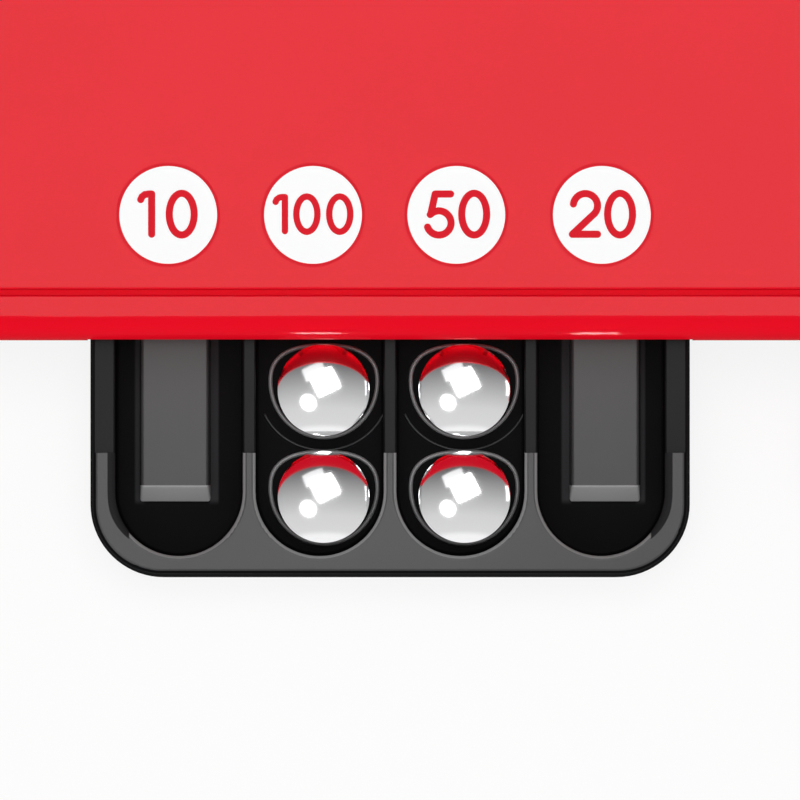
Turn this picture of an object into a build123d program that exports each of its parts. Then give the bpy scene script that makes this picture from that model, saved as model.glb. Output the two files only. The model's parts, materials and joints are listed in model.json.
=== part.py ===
from build123d import *
import os
from math import asin, cos, degrees, pi, radians, sin, sqrt, tan

os.makedirs("parts", exist_ok=True)

# Slope of the playfield, and the steel ball that the game is sized to
slope_angle = 6.5
ball_diameter = 12.7
seat_gap = 0.1
fit = 0.2
press_gap = 0.02

# Cabinet: a black shell below, the playfield board, and four red rails on top
field_width = 109.6
shooter_width = 14.4
shooter_wall = 2.0
cabinet_length = 270.0
rail_width = 6.0
cabinet_corner = 5.0
shell_wall = 2.4
shell_floor = 2.0
shell_setback = 0.6
deck_thickness = 3.0
foot_radius = 6.0
foot_height = 3.0
foot_recess = 0.6
foot_inset = 13.0
rib_thickness = 2.0
rib_depth = 4.0
boss_radius = 2.9
table_gap = 2.0

# Front rail with its rolled lip, and the apron behind it
mouth_headroom = 0.4
lip_thickness = 2.8
lip_depth = 6.1
nose_radius = 3.3
fascia = 3.0
seam_gap = 0.8
seam_depth = 0.8
seam_fillet = 0.3
apron_thickness = 2.2
apron_reach = 52.0
apron_wing = 64.0
apron_boss_radius = 3.2

# Score tray: four lanes in front of the lip, which run on under it
lane_width = 17.6
lane_divider = 1.9
tray_wall = 3.75
tray_reach = 33.0
tray_tail = 9.0
tray_front_wall = 3.2
tray_floor = 1.8
tray_corner = 10.2
tray_draft = 4.3
rim_height = 4.6
rear_rim_height = 3.6
rim_step = 15.6
rim_fillet = 0.65
rear_rim_fillet = 0.3
lane_floor_fillet = 0.35
lane_drop = 0.8
bar_width = 9.3
bar_height = 2.6
bar_bevel = 0.3
bar_shift = 0.67
bar_end_room = 12.7
bar_nose = 2.25
bar_fillet = 0.4
seat_drop = 0.2
seat_depth = 1.0
seat_radius = 6.2
seat_shift = 0.55
seat_front_room = 8.1
seat_ball_gap = 2.1
seat_ring_along = 6.6
seat_ring_bead = 0.2
seat_arc_step = 0.65
tongue_half_width = 30.0
tongue_length = 13.0
tongue_screw_place = 24.0

# Guides on the playfield. A place in shares is across the half field and along the cabinet.
divider_length = 31.0
guide_length = 35.0
arch_wall = 0.8
arch_height = 12.5
corner_start = 18.0
rollover_shares = (0.31, 0.867)
rollover_wall = 2.2
rollover_length = 16.0
rollover_height = 10.0

# Bumpers, sling posts and pins
bumper_shares = [(-0.365, 0.659), (0.365, 0.659), (0.0, 0.548)]
bumper_stem_radius = 6.0
bumper_base_radius = 9.0
bumper_ring_bead = 1.5
bumper_ring_height = 6.4
bumper_ring_round_share = 0.9
bumper_height = 11.4
bumper_cap_radius = 10.5
bumper_base = 1.6
bumper_cap_height = 4.6
bumper_cap_edge = 1.6
sling_shares = [(0.493, 0.374), (0.684, 0.4), (0.684, 0.511)]
post_radius = 2.0
post_flange_radius = 3.0
post_flange = 1.4
post_height = 11.0
band_thickness = 1.2
band_height = 3.6
band_place = 6.4
pin_radius = 0.9
pin_height = 12.0
pin_depth = 2.0
pin_end_share = 0.33
picket_shares = (0.73, 0.563)
picket_pitch = 8.0
picket_count = 3
pin_arc_share = 0.657
pin_arc_count = 5
pin_arc_span = 110.0

# Flippers, their buttons and the linkage under the playfield
pivot_shares = (0.63, 0.304)
flipper_share = 0.493
flipper_root_radius = 5.2
flipper_tip_radius = 3.0
flipper_rest = 30.0
flipper_swing = 50.0
flipper_lift = 1.0
flipper_height = 9.0
flipper_flange = 1.5
flipper_groove = 1.4
rubber_proud = 0.5
flipper_fillet = 0.8
shaft_radius = 2.0
shaft_cover = 1.5
shaft_gap = 0.06
bush_radius = 3.2
bush_flange_radius = 4.4
bush_flange = 0.7
crank_drop = 0.6
crank_thickness = 2.8
crank_hub_radius = 4.0
crank_pin_radius = 1.3
crank_pin_length = 3.8
crank_end_radius = 2.4
button_radius = 4.0
button_reach = 6.0
button_travel = 5.0
button_flange_radius = 4.9
button_flange = 1.6
button_fillet = 1.0
button_drop = 8.5
stop_gap = 0.1
rod_width = 6.4
rod_thickness = 2.6
rod_head_width = 8.4
rod_head_length = 6.6
slot_gap = 0.3
button_spring_length = 9.0
button_spring_radius = 4.2
button_spring_wire = 0.3
button_spring_turns = 6
guide_thickness = 2.0
guide_width = 13.0

# Plunger in its lane
plunger_radius = 2.5
plunger_gap = 0.1
plunger_travel = 20.0
plunger_tail = 16.4
knob_radius = 6.0
knob_length = 12.0
knob_neck_radius = 3.4
knob_neck = 6.0
knob_front_share = 0.7
knob_back_share = 0.3
sleeve_radius = 4.0
sleeve_length = 6.0
sleeve_flange_radius = 5.2
sleeve_flange = 1.6
nut_across = 10.4
nut_thickness = 2.6
collar_radius = 4.7
collar_thickness = 1.6
plunger_spring_radius = 4.0
plunger_spring_wire = 0.45
plunger_spring_turns = 9
plunger_spring_spare = 0.9
spring_end_gap = 0.1
tip_radius = 3.6
tip_length = 4.0
tip_grip = 2.0
tip_round_share = 0.33

# One-way gate over the shooter lane
gate_setback = 10.0
gate_drop = 2.2
gate_flap_length = 11.0
gate_flap_thickness = 0.8
gate_sleeve_radius = 1.3
gate_pin_radius = 0.6
gate_gap = 0.3
gate_ear = 1.2
gate_bar_depth = 2.8
gate_bar_headroom = 0.7
gate_flap_corner = 2.0

# Screws, all alike
screw_radius = 1.2
screw_head_radius = 2.1
screw_head = 1.2
screw_length = 15.0
screw_seat = 4.0
apron_screw_bite = 6.0
tray_screw_bite = 2.2
screw_inset = 22.0
rib_shares = [0.19, 0.39, 0.6, 0.81]

# Worked-out places. Every piece is modelled on a level playfield, with X across it from its
# centre line, Y up it from the nose of the lip and Z out of it, and is stood on the slope last.
rise = sin(radians(slope_angle))
run = cos(radians(slope_angle))
ball_radius = ball_diameter / 2
field_half = field_width / 2
shooter_left = field_half + shooter_wall
shooter_right = shooter_left + shooter_width
plunger_place = (shooter_left + shooter_right) / 2
left_edge = -(field_half + rail_width)
right_edge = shooter_right + rail_width
cabinet_width = right_edge - left_edge
cabinet_middle = (left_edge + right_edge) / 2
mouth_height = ball_diameter + mouth_headroom
rail_height = mouth_height + lip_thickness
apron_under = rail_height - apron_thickness
wall_height = apron_under - fit
apron_front = lip_depth + seam_gap
apron_left = -(field_half - fit)
apron_right = shooter_right - fit
deck_front = tray_tail + fit
screw_places_along = [screw_inset, cabinet_length / 2, cabinet_length - screw_inset]
rib_places_along = [cabinet_length * share for share in rib_shares]
arch_radius = (shooter_right + field_half) / 2
arch_start = cabinet_length - rail_width - arch_radius

lane_pitch = lane_width + lane_divider
lane_places = [lane_pitch * (lane - 1.5) for lane in range(4)]
outer_lanes = [lane_places[0], lane_places[3]]
inner_lanes = [lane_places[1], lane_places[2]]
tray_width = 4 * lane_width + 3 * lane_divider + 2 * tray_wall
lane_end = -(tray_reach - tray_front_wall) + lane_width / 2
bar_top = -lane_drop
pit_floor = bar_top - bar_height
tray_bottom = pit_floor - tray_floor
seat_floor = bar_top - seat_drop
front_seat = -(tray_reach - tray_front_wall) + seat_front_room
rear_seat = front_seat + ball_diameter + seat_ball_gap
seat_places = [(across + seat_shift, along) for across in inner_lanes for along in (front_seat, rear_seat)]
dish_radius = (seat_radius ** 2 + seat_depth ** 2) / (2 * seat_depth)
ball_height = seat_floor - seat_depth + seat_gap + ball_radius

lip_height = table_gap + tray_reach * rise - tray_bottom * run
rim_setback = (rim_height - tray_bottom) * tan(radians(tray_draft))
front_most = (rim_setback - tray_reach) * run - rim_height * rise
back_drop = (foot_height - lip_height - cabinet_length * rise) / run
back_most = cabinet_length * run - back_drop * rise
shell_depth = shell_floor - back_drop
slope = Plane(
    origin=(-cabinet_middle, -(front_most + back_most) / 2, lip_height),
    x_dir=(1, 0, 0),
    z_dir=(0, -rise, run),
)

pivot_across = pivot_shares[0] * field_half
pivot_along = pivot_shares[1] * cabinet_length
flipper_length = flipper_share * field_half
crank_arm = button_travel / (2 * sin(radians(flipper_swing / 2)))
rod_along = pivot_along - crank_arm * (1 + cos(radians(flipper_swing / 2))) / 2
crank_top = -(deck_thickness + crank_drop)
crank_bottom = crank_top - crank_thickness
flipper_top = flipper_lift + flipper_height


def above_table(height):
    """The level plane at a height over the table, seen from the sloping playfield."""
    below = height - lip_height
    return Plane(origin=(0, below * rise, below * run), x_dir=(1, 0, 0), z_dir=(0, rise, run))


def on_field(shares):
    """A place on the playfield from its shares of the half field and of the cabinet's length."""
    return (shares[0] * field_half, shares[1] * cabinet_length)


def write(piece, name):
    """Name a finished piece, stand it on the slope and write it out."""
    piece.part.label = name
    standing = piece.part.moved(slope.location)
    standing.label = name
    export_step(standing, f"parts/{name}.step")


def hull_of(circles):
    """Sketch the outline that a band has when it is stretched round some circles."""
    for (across, along), radius in circles:
        with Locations((across, along)):
            Circle(radius)
    make_hull()


# Base shell: outline, hollow, then posts, ribs and rod guides, then what is cut through them
side_screw_places = [
    (edge, along)
    for edge in (left_edge + rail_width / 2, right_edge - rail_width / 2)
    for along in screw_places_along
]
foot_places = [
    (edge, along)
    for edge in (left_edge + foot_inset, right_edge - foot_inset)
    for along in (shell_setback + foot_inset, cabinet_length - foot_inset)
]
wall_in_left = left_edge + shell_wall
wall_in_right = right_edge - shell_wall
guide_offset = stop_gap + button_flange + button_spring_length + guide_thickness / 2
guide_places = [wall_in_left + guide_offset, wall_in_right - guide_offset]
shell_length = cabinet_length - shell_setback
shell_middle = shell_setback + shell_length / 2
tray_screw_places = [(side * tongue_screw_place, tray_tail + tongue_length / 2) for side in (-1, 1)]

with BuildPart() as hollow:
    with BuildSketch():
        with Locations((cabinet_middle, shell_middle)):
            RectangleRounded(
                cabinet_width - 2 * shell_wall,
                shell_length - 2 * shell_wall,
                cabinet_corner - shell_wall,
            )
    extrude(amount=-shell_depth)
    split(bisect_by=above_table(foot_height + shell_floor), keep=Keep.TOP)

with BuildPart() as base_shell:
    with BuildSketch():
        with Locations((cabinet_middle, shell_middle)):
            RectangleRounded(cabinet_width, shell_length, cabinet_corner)
    extrude(amount=-shell_depth)
    add(hollow.part, mode=Mode.SUBTRACT)
    with BuildSketch(Plane.XY.offset(-deck_thickness)):
        with Locations(*side_screw_places):
            Circle(boss_radius)
        for along in rib_places_along:
            with Locations((wall_in_left, along), (wall_in_right, along)):
                Rectangle(2 * rib_depth, rib_thickness)
        for across in guide_places:
            with Locations((across, rod_along)):
                Rectangle(guide_thickness, guide_width)
    extrude(amount=-shell_depth)
    with BuildSketch():
        with Locations((cabinet_middle, shell_middle)):
            RectangleRounded(cabinet_width, shell_length, cabinet_corner)
    extrude(amount=-shell_depth, mode=Mode.INTERSECT)
    split(bisect_by=above_table(foot_height), keep=Keep.TOP)
    with BuildSketch(Plane.XY.offset(-deck_thickness)):
        for across in guide_places:
            with Locations((across, rod_along)):
                Rectangle(guide_thickness + fit, rod_width + 2 * fit)
    extrude(amount=-(button_drop - deck_thickness + rod_thickness / 2 + fit), mode=Mode.SUBTRACT)
    with BuildSketch(Plane.XY.offset(tray_bottom)):
        with Locations((0, shell_setback)):
            Rectangle(tray_width + 2 * fit, 2 * fascia)
    extrude(amount=-tray_bottom, mode=Mode.SUBTRACT)
    with BuildSketch(Plane.YZ.offset(left_edge)):
        with Locations((rod_along, -button_drop)):
            Circle(button_radius + fit)
    extrude(amount=shell_wall, mode=Mode.SUBTRACT)
    with BuildSketch(Plane.YZ.offset(right_edge)):
        with Locations((rod_along, -button_drop)):
            Circle(button_radius + fit)
    extrude(amount=-shell_wall, mode=Mode.SUBTRACT)
    with BuildSketch():
        with Locations(*side_screw_places):
            Circle(screw_radius + fit)
    extrude(amount=-shell_depth, mode=Mode.SUBTRACT)
    with BuildSketch(Plane.XY.offset(-(deck_thickness + screw_seat))):
        with Locations(*side_screw_places):
            Circle(screw_head_radius + fit)
    extrude(amount=-shell_depth, mode=Mode.SUBTRACT)
    with BuildSketch(Plane.XY.offset(tray_bottom)):
        with Locations(*tray_screw_places):
            Circle(screw_head_radius + 2 * fit)
    extrude(amount=-shell_depth, mode=Mode.SUBTRACT)
    with BuildSketch(above_table(foot_height)):
        with Locations(*foot_places):
            Circle(foot_radius + fit)
    extrude(amount=foot_recess, mode=Mode.SUBTRACT)
write(base_shell, "base_shell")

with BuildPart() as rubber_feet:
    with BuildSketch(above_table(0)):
        with Locations(*foot_places):
            Circle(foot_radius)
    extrude(amount=foot_height + foot_recess)
    rims = rubber_feet.edges().filter_by(GeomType.CIRCLE)
    chamfer(rims.filter_by(lambda rim: above_table(0).to_local_coords(rim.center()).Z < fit), foot_recess)
write(rubber_feet, "rubber_feet")

with BuildPart() as case_screws:
    with BuildSketch(Plane.XY.offset(-(deck_thickness + screw_seat))):
        with Locations(*side_screw_places):
            Circle(screw_radius)
    extrude(amount=screw_length)
    with BuildSketch(Plane.XY.offset(-(deck_thickness + screw_seat))):
        with Locations(*side_screw_places):
            Circle(screw_head_radius)
    extrude(amount=-screw_head)
write(case_screws, "case_screws")

# Playfield board, with the holes that the pins, bushes and screws go through
apron_boss_along = deck_front + divider_length + lane_divider / 2 + fit + apron_boss_radius
apron_boss_places = [(side * lane_pitch, apron_boss_along) for side in (-1, 1)]
pivots = [(side * pivot_across, pivot_along) for side in (-1, 1)]
picket_across, picket_start = on_field(picket_shares)
picket_places = [
    (side * picket_across, picket_start + picket * picket_pitch)
    for side in (-1, 1)
    for picket in range(picket_count)
]
bumper_places = [on_field(shares) for shares in bumper_shares]
bumper_middle = sum(along for across, along in bumper_places) / len(bumper_places)
pin_arc_radius = pin_arc_share * field_half
pin_angles = [
    90 + pin_arc_span * (pin / (pin_arc_count - 1) - 0.5) for pin in range(pin_arc_count)
]
pin_arc_places = [
    (pin_arc_radius * cos(radians(angle)), bumper_middle + pin_arc_radius * sin(radians(angle)))
    for angle in pin_angles
]
pin_places = picket_places + pin_arc_places
deck_left = wall_in_left + fit
deck_right = wall_in_right - fit
deck_back = cabinet_length - shell_wall - fit

with BuildPart() as playfield:
    with BuildSketch():
        with Locations((cabinet_middle, (deck_front + deck_back) / 2)):
            RectangleRounded(deck_right - deck_left, deck_back - deck_front, cabinet_corner - shell_wall)
    extrude(amount=-deck_thickness)
    with BuildSketch():
        with Locations(*pivots):
            Circle(bush_radius + press_gap)
        with Locations(*side_screw_places, *apron_boss_places):
            Circle(screw_radius + fit)
    extrude(amount=-deck_thickness, mode=Mode.SUBTRACT)
    with BuildSketch():
        with Locations(*pin_places):
            Circle(pin_radius + press_gap)
    extrude(amount=-pin_depth, mode=Mode.SUBTRACT)
    with BuildSketch(Plane.XY.offset(-deck_thickness)):
        with Locations(*tray_screw_places):
            Circle(screw_radius + press_gap)
    extrude(amount=tray_screw_bite + fit, mode=Mode.SUBTRACT)
write(playfield, "playfield")

# Front rail: a fascia with a rolled lip, closed at its ends, the mouth over the score tray, and
# the low step behind the lip that the seam to the apron ends on
mouth_half = tray_width / 2 + fit
step_depth = seam_gap - press_gap
step_height = lip_thickness - seam_depth

with BuildPart() as front_rail:
    with BuildSketch(Plane.YZ.offset(left_edge)):
        with BuildLine():
            Polyline(
                (0, 0),
                (fascia, 0),
                (fascia, mouth_height),
                (lip_depth, mouth_height),
                (lip_depth, rail_height),
                (0, rail_height),
                close=True,
            )
        make_face()
    extrude(amount=cabinet_width)
    with BuildSketch():
        for across in (left_edge + rail_width / 2, right_edge - rail_width / 2):
            with Locations((across, lip_depth / 2)):
                Rectangle(rail_width, lip_depth)
    extrude(amount=mouth_height)
    fillet(front_rail.edges().filter_by(Axis.Z).group_by(Axis.Y)[0], cabinet_corner)
    top_edges = front_rail.faces().sort_by(Axis.Z)[-1].edges()
    fillet(top_edges.filter_by(lambda edge: edge.center().Y < lip_depth - press_gap), nose_radius)
    fillet(front_rail.faces().sort_by(Axis.Z)[-1].edges().sort_by(Axis.Y)[-1], seam_fillet)
    with BuildSketch():
        with Locations((0, fascia / 2)):
            Rectangle(2 * mouth_half, 2 * fascia)
    extrude(amount=mouth_height, mode=Mode.SUBTRACT)
    with BuildSketch(Plane.XZ):
        with Locations((plunger_place, ball_radius)):
            Circle(sleeve_radius + press_gap)
    extrude(amount=-fascia, mode=Mode.SUBTRACT)
    with BuildSketch(Plane.YZ.offset(apron_left)):
        with Locations((lip_depth + step_depth / 2, mouth_height + step_height / 2)):
            Rectangle(step_depth, step_height)
    extrude(amount=apron_right - apron_left)
write(front_rail, "front_rail")


def side_rail(inner, outer):
    """One straight rail beside the playfield, rounded on its outer top edge like the lip."""
    with BuildPart() as rail:
        with BuildSketch():
            with Locations(((inner + outer) / 2, (lip_depth + cabinet_length - rail_width) / 2)):
                Rectangle(rail_width, cabinet_length - rail_width - lip_depth)
        extrude(amount=rail_height)
        top_edges = rail.faces().sort_by(Axis.Z)[-1].edges().filter_by(Axis.Y)
        fillet(top_edges.sort_by(lambda edge: abs(edge.center().X - outer))[0], nose_radius)
        top_edges = rail.faces().sort_by(Axis.Z)[-1].edges().filter_by(Axis.Y)
        fillet(top_edges.sort_by(lambda edge: abs(edge.center().X - inner))[0], seam_fillet)
        with BuildSketch():
            with Locations(*[((inner + outer) / 2, along) for along in screw_places_along]):
                Circle(screw_radius + press_gap)
        extrude(amount=screw_length - deck_thickness - screw_seat + fit, mode=Mode.SUBTRACT)
    return rail


write(side_rail(-field_half, left_edge), "left_rail")
write(side_rail(shooter_right, right_edge), "right_rail")

with BuildPart() as back_rail:
    with BuildSketch():
        with Locations((cabinet_middle, cabinet_length - rail_width / 2)):
            Rectangle(cabinet_width, rail_width)
    extrude(amount=rail_height)
    fillet(back_rail.edges().filter_by(Axis.Z).group_by(Axis.Y)[-1], cabinet_corner)
    top_edges = back_rail.faces().sort_by(Axis.Z)[-1].edges()
    front_line = cabinet_length - rail_width + press_gap
    fillet(top_edges.filter_by(lambda edge: edge.center().Y > front_line), nose_radius)
write(back_rail, "back_rail")

# Apron: a plate between the rails, hollowed at the back, on two posts screwed from below
wing_tip = field_half - shooter_wall

with BuildPart() as apron:
    with BuildSketch(Plane.XY.offset(apron_under)):
        with BuildLine():
            Polyline(
                (apron_left, apron_wing),
                (apron_left, apron_front),
                (apron_right, apron_front),
                (apron_right, apron_reach),
                (shooter_left, apron_reach),
                (shooter_left, apron_wing),
                (wing_tip, apron_wing),
            )
            ThreePointArc((wing_tip, apron_wing), (0, apron_reach), (-wing_tip, apron_wing))
            Line((-wing_tip, apron_wing), (apron_left, apron_wing))
        make_face()
    extrude(amount=apron_thickness)
    fillet(apron.faces().sort_by(Axis.Z)[-1].edges(), seam_fillet)
    with BuildSketch(Plane.XY.offset(apron_under)):
        with Locations(*apron_boss_places):
            Circle(apron_boss_radius)
    extrude(amount=-apron_under)
    with BuildSketch():
        with Locations(*apron_boss_places):
            Circle(screw_radius + press_gap)
    extrude(amount=apron_screw_bite + fit, mode=Mode.SUBTRACT)
write(apron, "apron")

with BuildPart() as apron_screws:
    with BuildSketch(Plane.XY.offset(-deck_thickness)):
        with Locations(*apron_boss_places):
            Circle(screw_radius)
    extrude(amount=deck_thickness + apron_screw_bite)
    with BuildSketch(Plane.XY.offset(-deck_thickness)):
        with Locations(*apron_boss_places):
            Circle(screw_head_radius)
    extrude(amount=-screw_head)
write(apron_screws, "apron_screws")

# Score tray: a drafted block with four round-ended lanes sunk into it
half_tray = tray_width / 2
corner_across = half_tray - tray_corner
corner_along = tray_corner - tray_reach
block_end = tray_tail + tray_wall
bar_reach = tray_reach - bar_end_room
bar_places = [outer_lanes[0] - bar_shift, outer_lanes[1] + bar_shift]


def lane_outline(across):
    """Sketch one lane: straight sides, open at the back, and a round front end."""
    with Locations((across, (lane_end + deck_front) / 2)):
        Rectangle(lane_width, deck_front - lane_end)
    with Locations((across, lane_end)):
        Circle(lane_width / 2)


with BuildPart() as seat_dishes:
    for across, along in seat_places:
        with Locations((across, along, seat_floor - seat_depth + dish_radius)):
            Sphere(dish_radius)
    split(bisect_by=Plane.XY.offset(seat_floor), keep=Keep.BOTTOM)

with BuildPart() as score_tray:
    with BuildSketch(Plane.XY.offset(tray_bottom)):
        with BuildLine():
            Line((-half_tray, block_end), (-half_tray, corner_along))
            RadiusArc((-half_tray, corner_along), (-corner_across, -tray_reach), -tray_corner)
            Line((-corner_across, -tray_reach), (corner_across, -tray_reach))
            RadiusArc((corner_across, -tray_reach), (half_tray, corner_along), -tray_corner)
            Line((half_tray, corner_along), (half_tray, block_end))
            Line((half_tray, block_end), (-half_tray, block_end))
        make_face()
    extrude(amount=rim_height - tray_bottom, taper=tray_draft)
    split(bisect_by=Plane.XZ.offset(-tray_tail), keep=Keep.TOP)
    with BuildSketch(Plane.XY.offset(rear_rim_height)):
        with Locations((0, tray_reach / 2 - rim_step)):
            Rectangle(2 * tray_width, tray_reach)
    extrude(amount=rim_height - rear_rim_height, mode=Mode.SUBTRACT)
    for lanes, floor in ((outer_lanes, pit_floor), (inner_lanes, seat_floor)):
        with BuildSketch(Plane.XY.offset(rim_height)):
            for across in lanes:
                lane_outline(across)
        extrude(amount=floor - rim_height, mode=Mode.SUBTRACT)
    for floor in (pit_floor, seat_floor):
        inside = score_tray.edges().filter_by_position(Axis.Y, -tray_reach, tray_tail - press_gap)
        at_floor = inside.filter_by_position(Axis.Z, floor - press_gap, floor + press_gap)
        fillet(at_floor, lane_floor_fillet)
    rim = score_tray.edges().filter_by_position(Axis.Z, rim_height - press_gap, rim_height + press_gap)
    fillet(rim.filter_by_position(Axis.Y, -tray_reach, -rim_step - press_gap), rim_fillet)
    rear_rim = score_tray.edges().filter_by_position(
        Axis.Z, rear_rim_height - press_gap, rear_rim_height + press_gap
    )
    fillet(rear_rim.filter_by_position(Axis.Y, press_gap - rim_step, tray_tail - press_gap), rear_rim_fillet)
    for across in bar_places:
        with BuildSketch(Plane.XY.offset(pit_floor)):
            with Locations((across, (tray_tail - bar_reach - bar_nose) / 2)):
                Rectangle(bar_width + 2 * bar_bevel, tray_tail + bar_reach + bar_nose)
        with BuildSketch(Plane.XY.offset(bar_top)):
            with Locations((across, (tray_tail - bar_reach) / 2)):
                Rectangle(bar_width, tray_tail + bar_reach)
        loft(ruled=True)
    bar_edges = score_tray.edges().filter_by_position(Axis.Z, pit_floor + bar_height / 4, bar_top + press_gap)
    bar_edges = bar_edges.filter_by_position(Axis.Y, -tray_reach, tray_tail - press_gap)
    for across in bar_places:
        nearby = bar_edges.filter_by_position(Axis.X, across - bar_width / 2 - fit, across + bar_width / 2 + fit)
        fillet(nearby, bar_fillet)
    add(seat_dishes.part, mode=Mode.SUBTRACT)
    with BuildSketch(Plane.XY.offset(tray_bottom)):
        with Locations((0, tray_tail + tongue_length / 2)):
            Rectangle(2 * tongue_half_width, tongue_length)
        with Locations(*tray_screw_places):
            Circle(screw_radius + fit, mode=Mode.SUBTRACT)
    extrude(amount=-deck_thickness - fit - tray_bottom)
write(score_tray, "score_tray")

with BuildPart() as tray_screws:
    with BuildSketch(Plane.XY.offset(tray_bottom)):
        with Locations(*tray_screw_places):
            Circle(screw_radius)
    extrude(amount=tray_screw_bite - deck_thickness - tray_bottom)
    with BuildSketch(Plane.XY.offset(tray_bottom)):
        with Locations(*tray_screw_places):
            Circle(screw_head_radius)
    extrude(amount=-screw_head)
write(tray_screws, "tray_screws")

# Thin beads round the seats, as wide as the flat floor between the lane's walls lets them be
seat_ring_across = lane_width / 2 - lane_floor_fillet - seat_shift - seat_ring_bead
seat_arc_radius = seat_ring_across + seat_arc_step
seat_arc_half = degrees(asin(seat_ring_across / seat_arc_radius))

with BuildPart() as seat_rings:
    with BuildSketch(Plane.XY.offset(seat_floor)):
        with Locations(*seat_places):
            Ellipse(seat_ring_across + seat_ring_bead, seat_ring_along + seat_ring_bead)
            Ellipse(seat_ring_across - seat_ring_bead, seat_ring_along - seat_ring_bead, mode=Mode.SUBTRACT)
        for across in inner_lanes:
            with BuildLine():
                CenterArc(
                    (across + seat_shift, rear_seat), seat_arc_radius, -90 - seat_arc_half, 2 * seat_arc_half
                )
            trace(line_width=seat_ring_bead)
    extrude(amount=seat_ring_bead)
write(seat_rings, "seat_rings")

# The four balls, each in its seat
ball_names = ["ball_left_front", "ball_left_rear", "ball_right_front", "ball_right_rear"]
for (across, along), name in zip(seat_places, ball_names):
    with BuildPart() as ball:
        with Locations((across, along, ball_height)):
            Sphere(ball_radius)
    write(ball, name)

# Fins under the apron, in line with the lanes, and guides that lead the side gaps into the outer lanes
with BuildPart() as lip_room:
    with BuildSketch(Plane.XY.offset(mouth_height - fit)):
        with Locations((cabinet_middle, apron_front / 2)):
            Rectangle(cabinet_width, apron_front + 2 * fit)
    extrude(amount=lip_thickness)

with BuildPart() as lane_dividers:
    with BuildSketch():
        for across in (-lane_pitch, 0, lane_pitch):
            with Locations((across, deck_front + divider_length / 2)):
                Rectangle(lane_divider, divider_length)
            with Locations((across, deck_front + divider_length)):
                Circle(lane_divider / 2)
    extrude(amount=apron_under)
    add(lip_room.part, mode=Mode.SUBTRACT)
write(lane_dividers, "lane_dividers")

guide_front = lane_places[3] + lane_width / 2
guide_back = deck_front + guide_length
guide_slant = ((field_half - guide_front) ** 2 + guide_length ** 2) ** 0.5
guide_foot = lane_divider * guide_slant / guide_length
guide_head = lane_divider * guide_slant / (field_half - guide_front)


def drain_guide(side):
    """One slanting fin from the side of the playfield to the outer lane's wall."""
    with BuildPart() as guide:
        with BuildSketch():
            with BuildLine():
                Polyline(
                    (side * guide_front, deck_front),
                    (side * field_half, guide_back),
                    (side * field_half, guide_back - guide_head),
                    (side * (guide_front + guide_foot), deck_front),
                    close=True,
                )
            make_face()
        extrude(amount=apron_under)
        add(lip_room.part, mode=Mode.SUBTRACT)
    return guide


write(drain_guide(-1), "left_drain_guide")
write(drain_guide(1), "right_drain_guide")

shooter_wall_end = arch_start - shooter_wall / 2

with BuildPart() as shooter_divider:
    with BuildSketch():
        with Locations((field_half + shooter_wall / 2, (deck_front + shooter_wall_end) / 2)):
            Rectangle(shooter_wall, shooter_wall_end - deck_front)
        with Locations((field_half + shooter_wall / 2, shooter_wall_end)):
            Circle(shooter_wall / 2)
    extrude(amount=wall_height)
    add(lip_room.part, mode=Mode.SUBTRACT)
write(shooter_divider, "shooter_divider")

# Top of the playfield: a steel strip bent to a half circle, and the corner blocks that hold it
with BuildPart() as arch_strip:
    with BuildSketch():
        with Locations((cabinet_middle, arch_start)):
            Circle(arch_radius - fit)
            Circle(arch_radius - fit - arch_wall, mode=Mode.SUBTRACT)
        with Locations((cabinet_middle, arch_start - arch_radius / 2)):
            Rectangle(2 * arch_radius, arch_radius, mode=Mode.SUBTRACT)
    extrude(amount=arch_height)
write(arch_strip, "arch_strip")


def corner_block(side):
    """One block between the strip and a back corner, cut off where it would run out thin."""
    with BuildPart() as block:
        with BuildSketch():
            with Locations((
                cabinet_middle + side * (arch_radius + corner_start) / 2,
                arch_start + (arch_radius + corner_start) / 2,
            )):
                Rectangle(arch_radius - corner_start, arch_radius - corner_start)
            with Locations((cabinet_middle, arch_start)):
                Circle(arch_radius, mode=Mode.SUBTRACT)
        extrude(amount=wall_height)
        fillet(block.faces().sort_by(Axis.Z)[-1].edges(), seam_fillet)
    return block


write(corner_block(-1), "left_corner")
write(corner_block(1), "right_corner")

rollover_pitch, rollover_along = on_field(rollover_shares)

with BuildPart() as lane_guides:
    with BuildSketch():
        for across in (-rollover_pitch, 0, rollover_pitch):
            with Locations((across, rollover_along)):
                SlotOverall(rollover_length, rollover_wall, rotation=90)
    extrude(amount=rollover_height)
    fillet(lane_guides.edges().group_by(Axis.Z)[-1], seam_fillet)
write(lane_guides, "lane_guides")

# Pins, pushed into the board
with BuildPart() as playfield_pins:
    with BuildSketch(Plane.XY.offset(-pin_depth)):
        with Locations(*pin_places):
            Circle(pin_radius)
    extrude(amount=pin_depth + pin_height)
    chamfer(playfield_pins.edges().group_by(Axis.Z)[-1], pin_radius * pin_end_share)
write(playfield_pins, "playfield_pins")

# Three mushroom bumpers: a stem with a foot, a rubber ring and a domed cap
with BuildPart() as bumper_stems:
    with BuildSketch():
        with Locations(*bumper_places):
            Circle(bumper_base_radius)
    extrude(amount=bumper_base)
    chamfer(bumper_stems.edges().group_by(Axis.Z)[-1], bumper_base / 2)
    with BuildSketch():
        with Locations(*bumper_places):
            Circle(bumper_stem_radius)
    extrude(amount=bumper_height)
write(bumper_stems, "bumper_stems")

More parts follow.
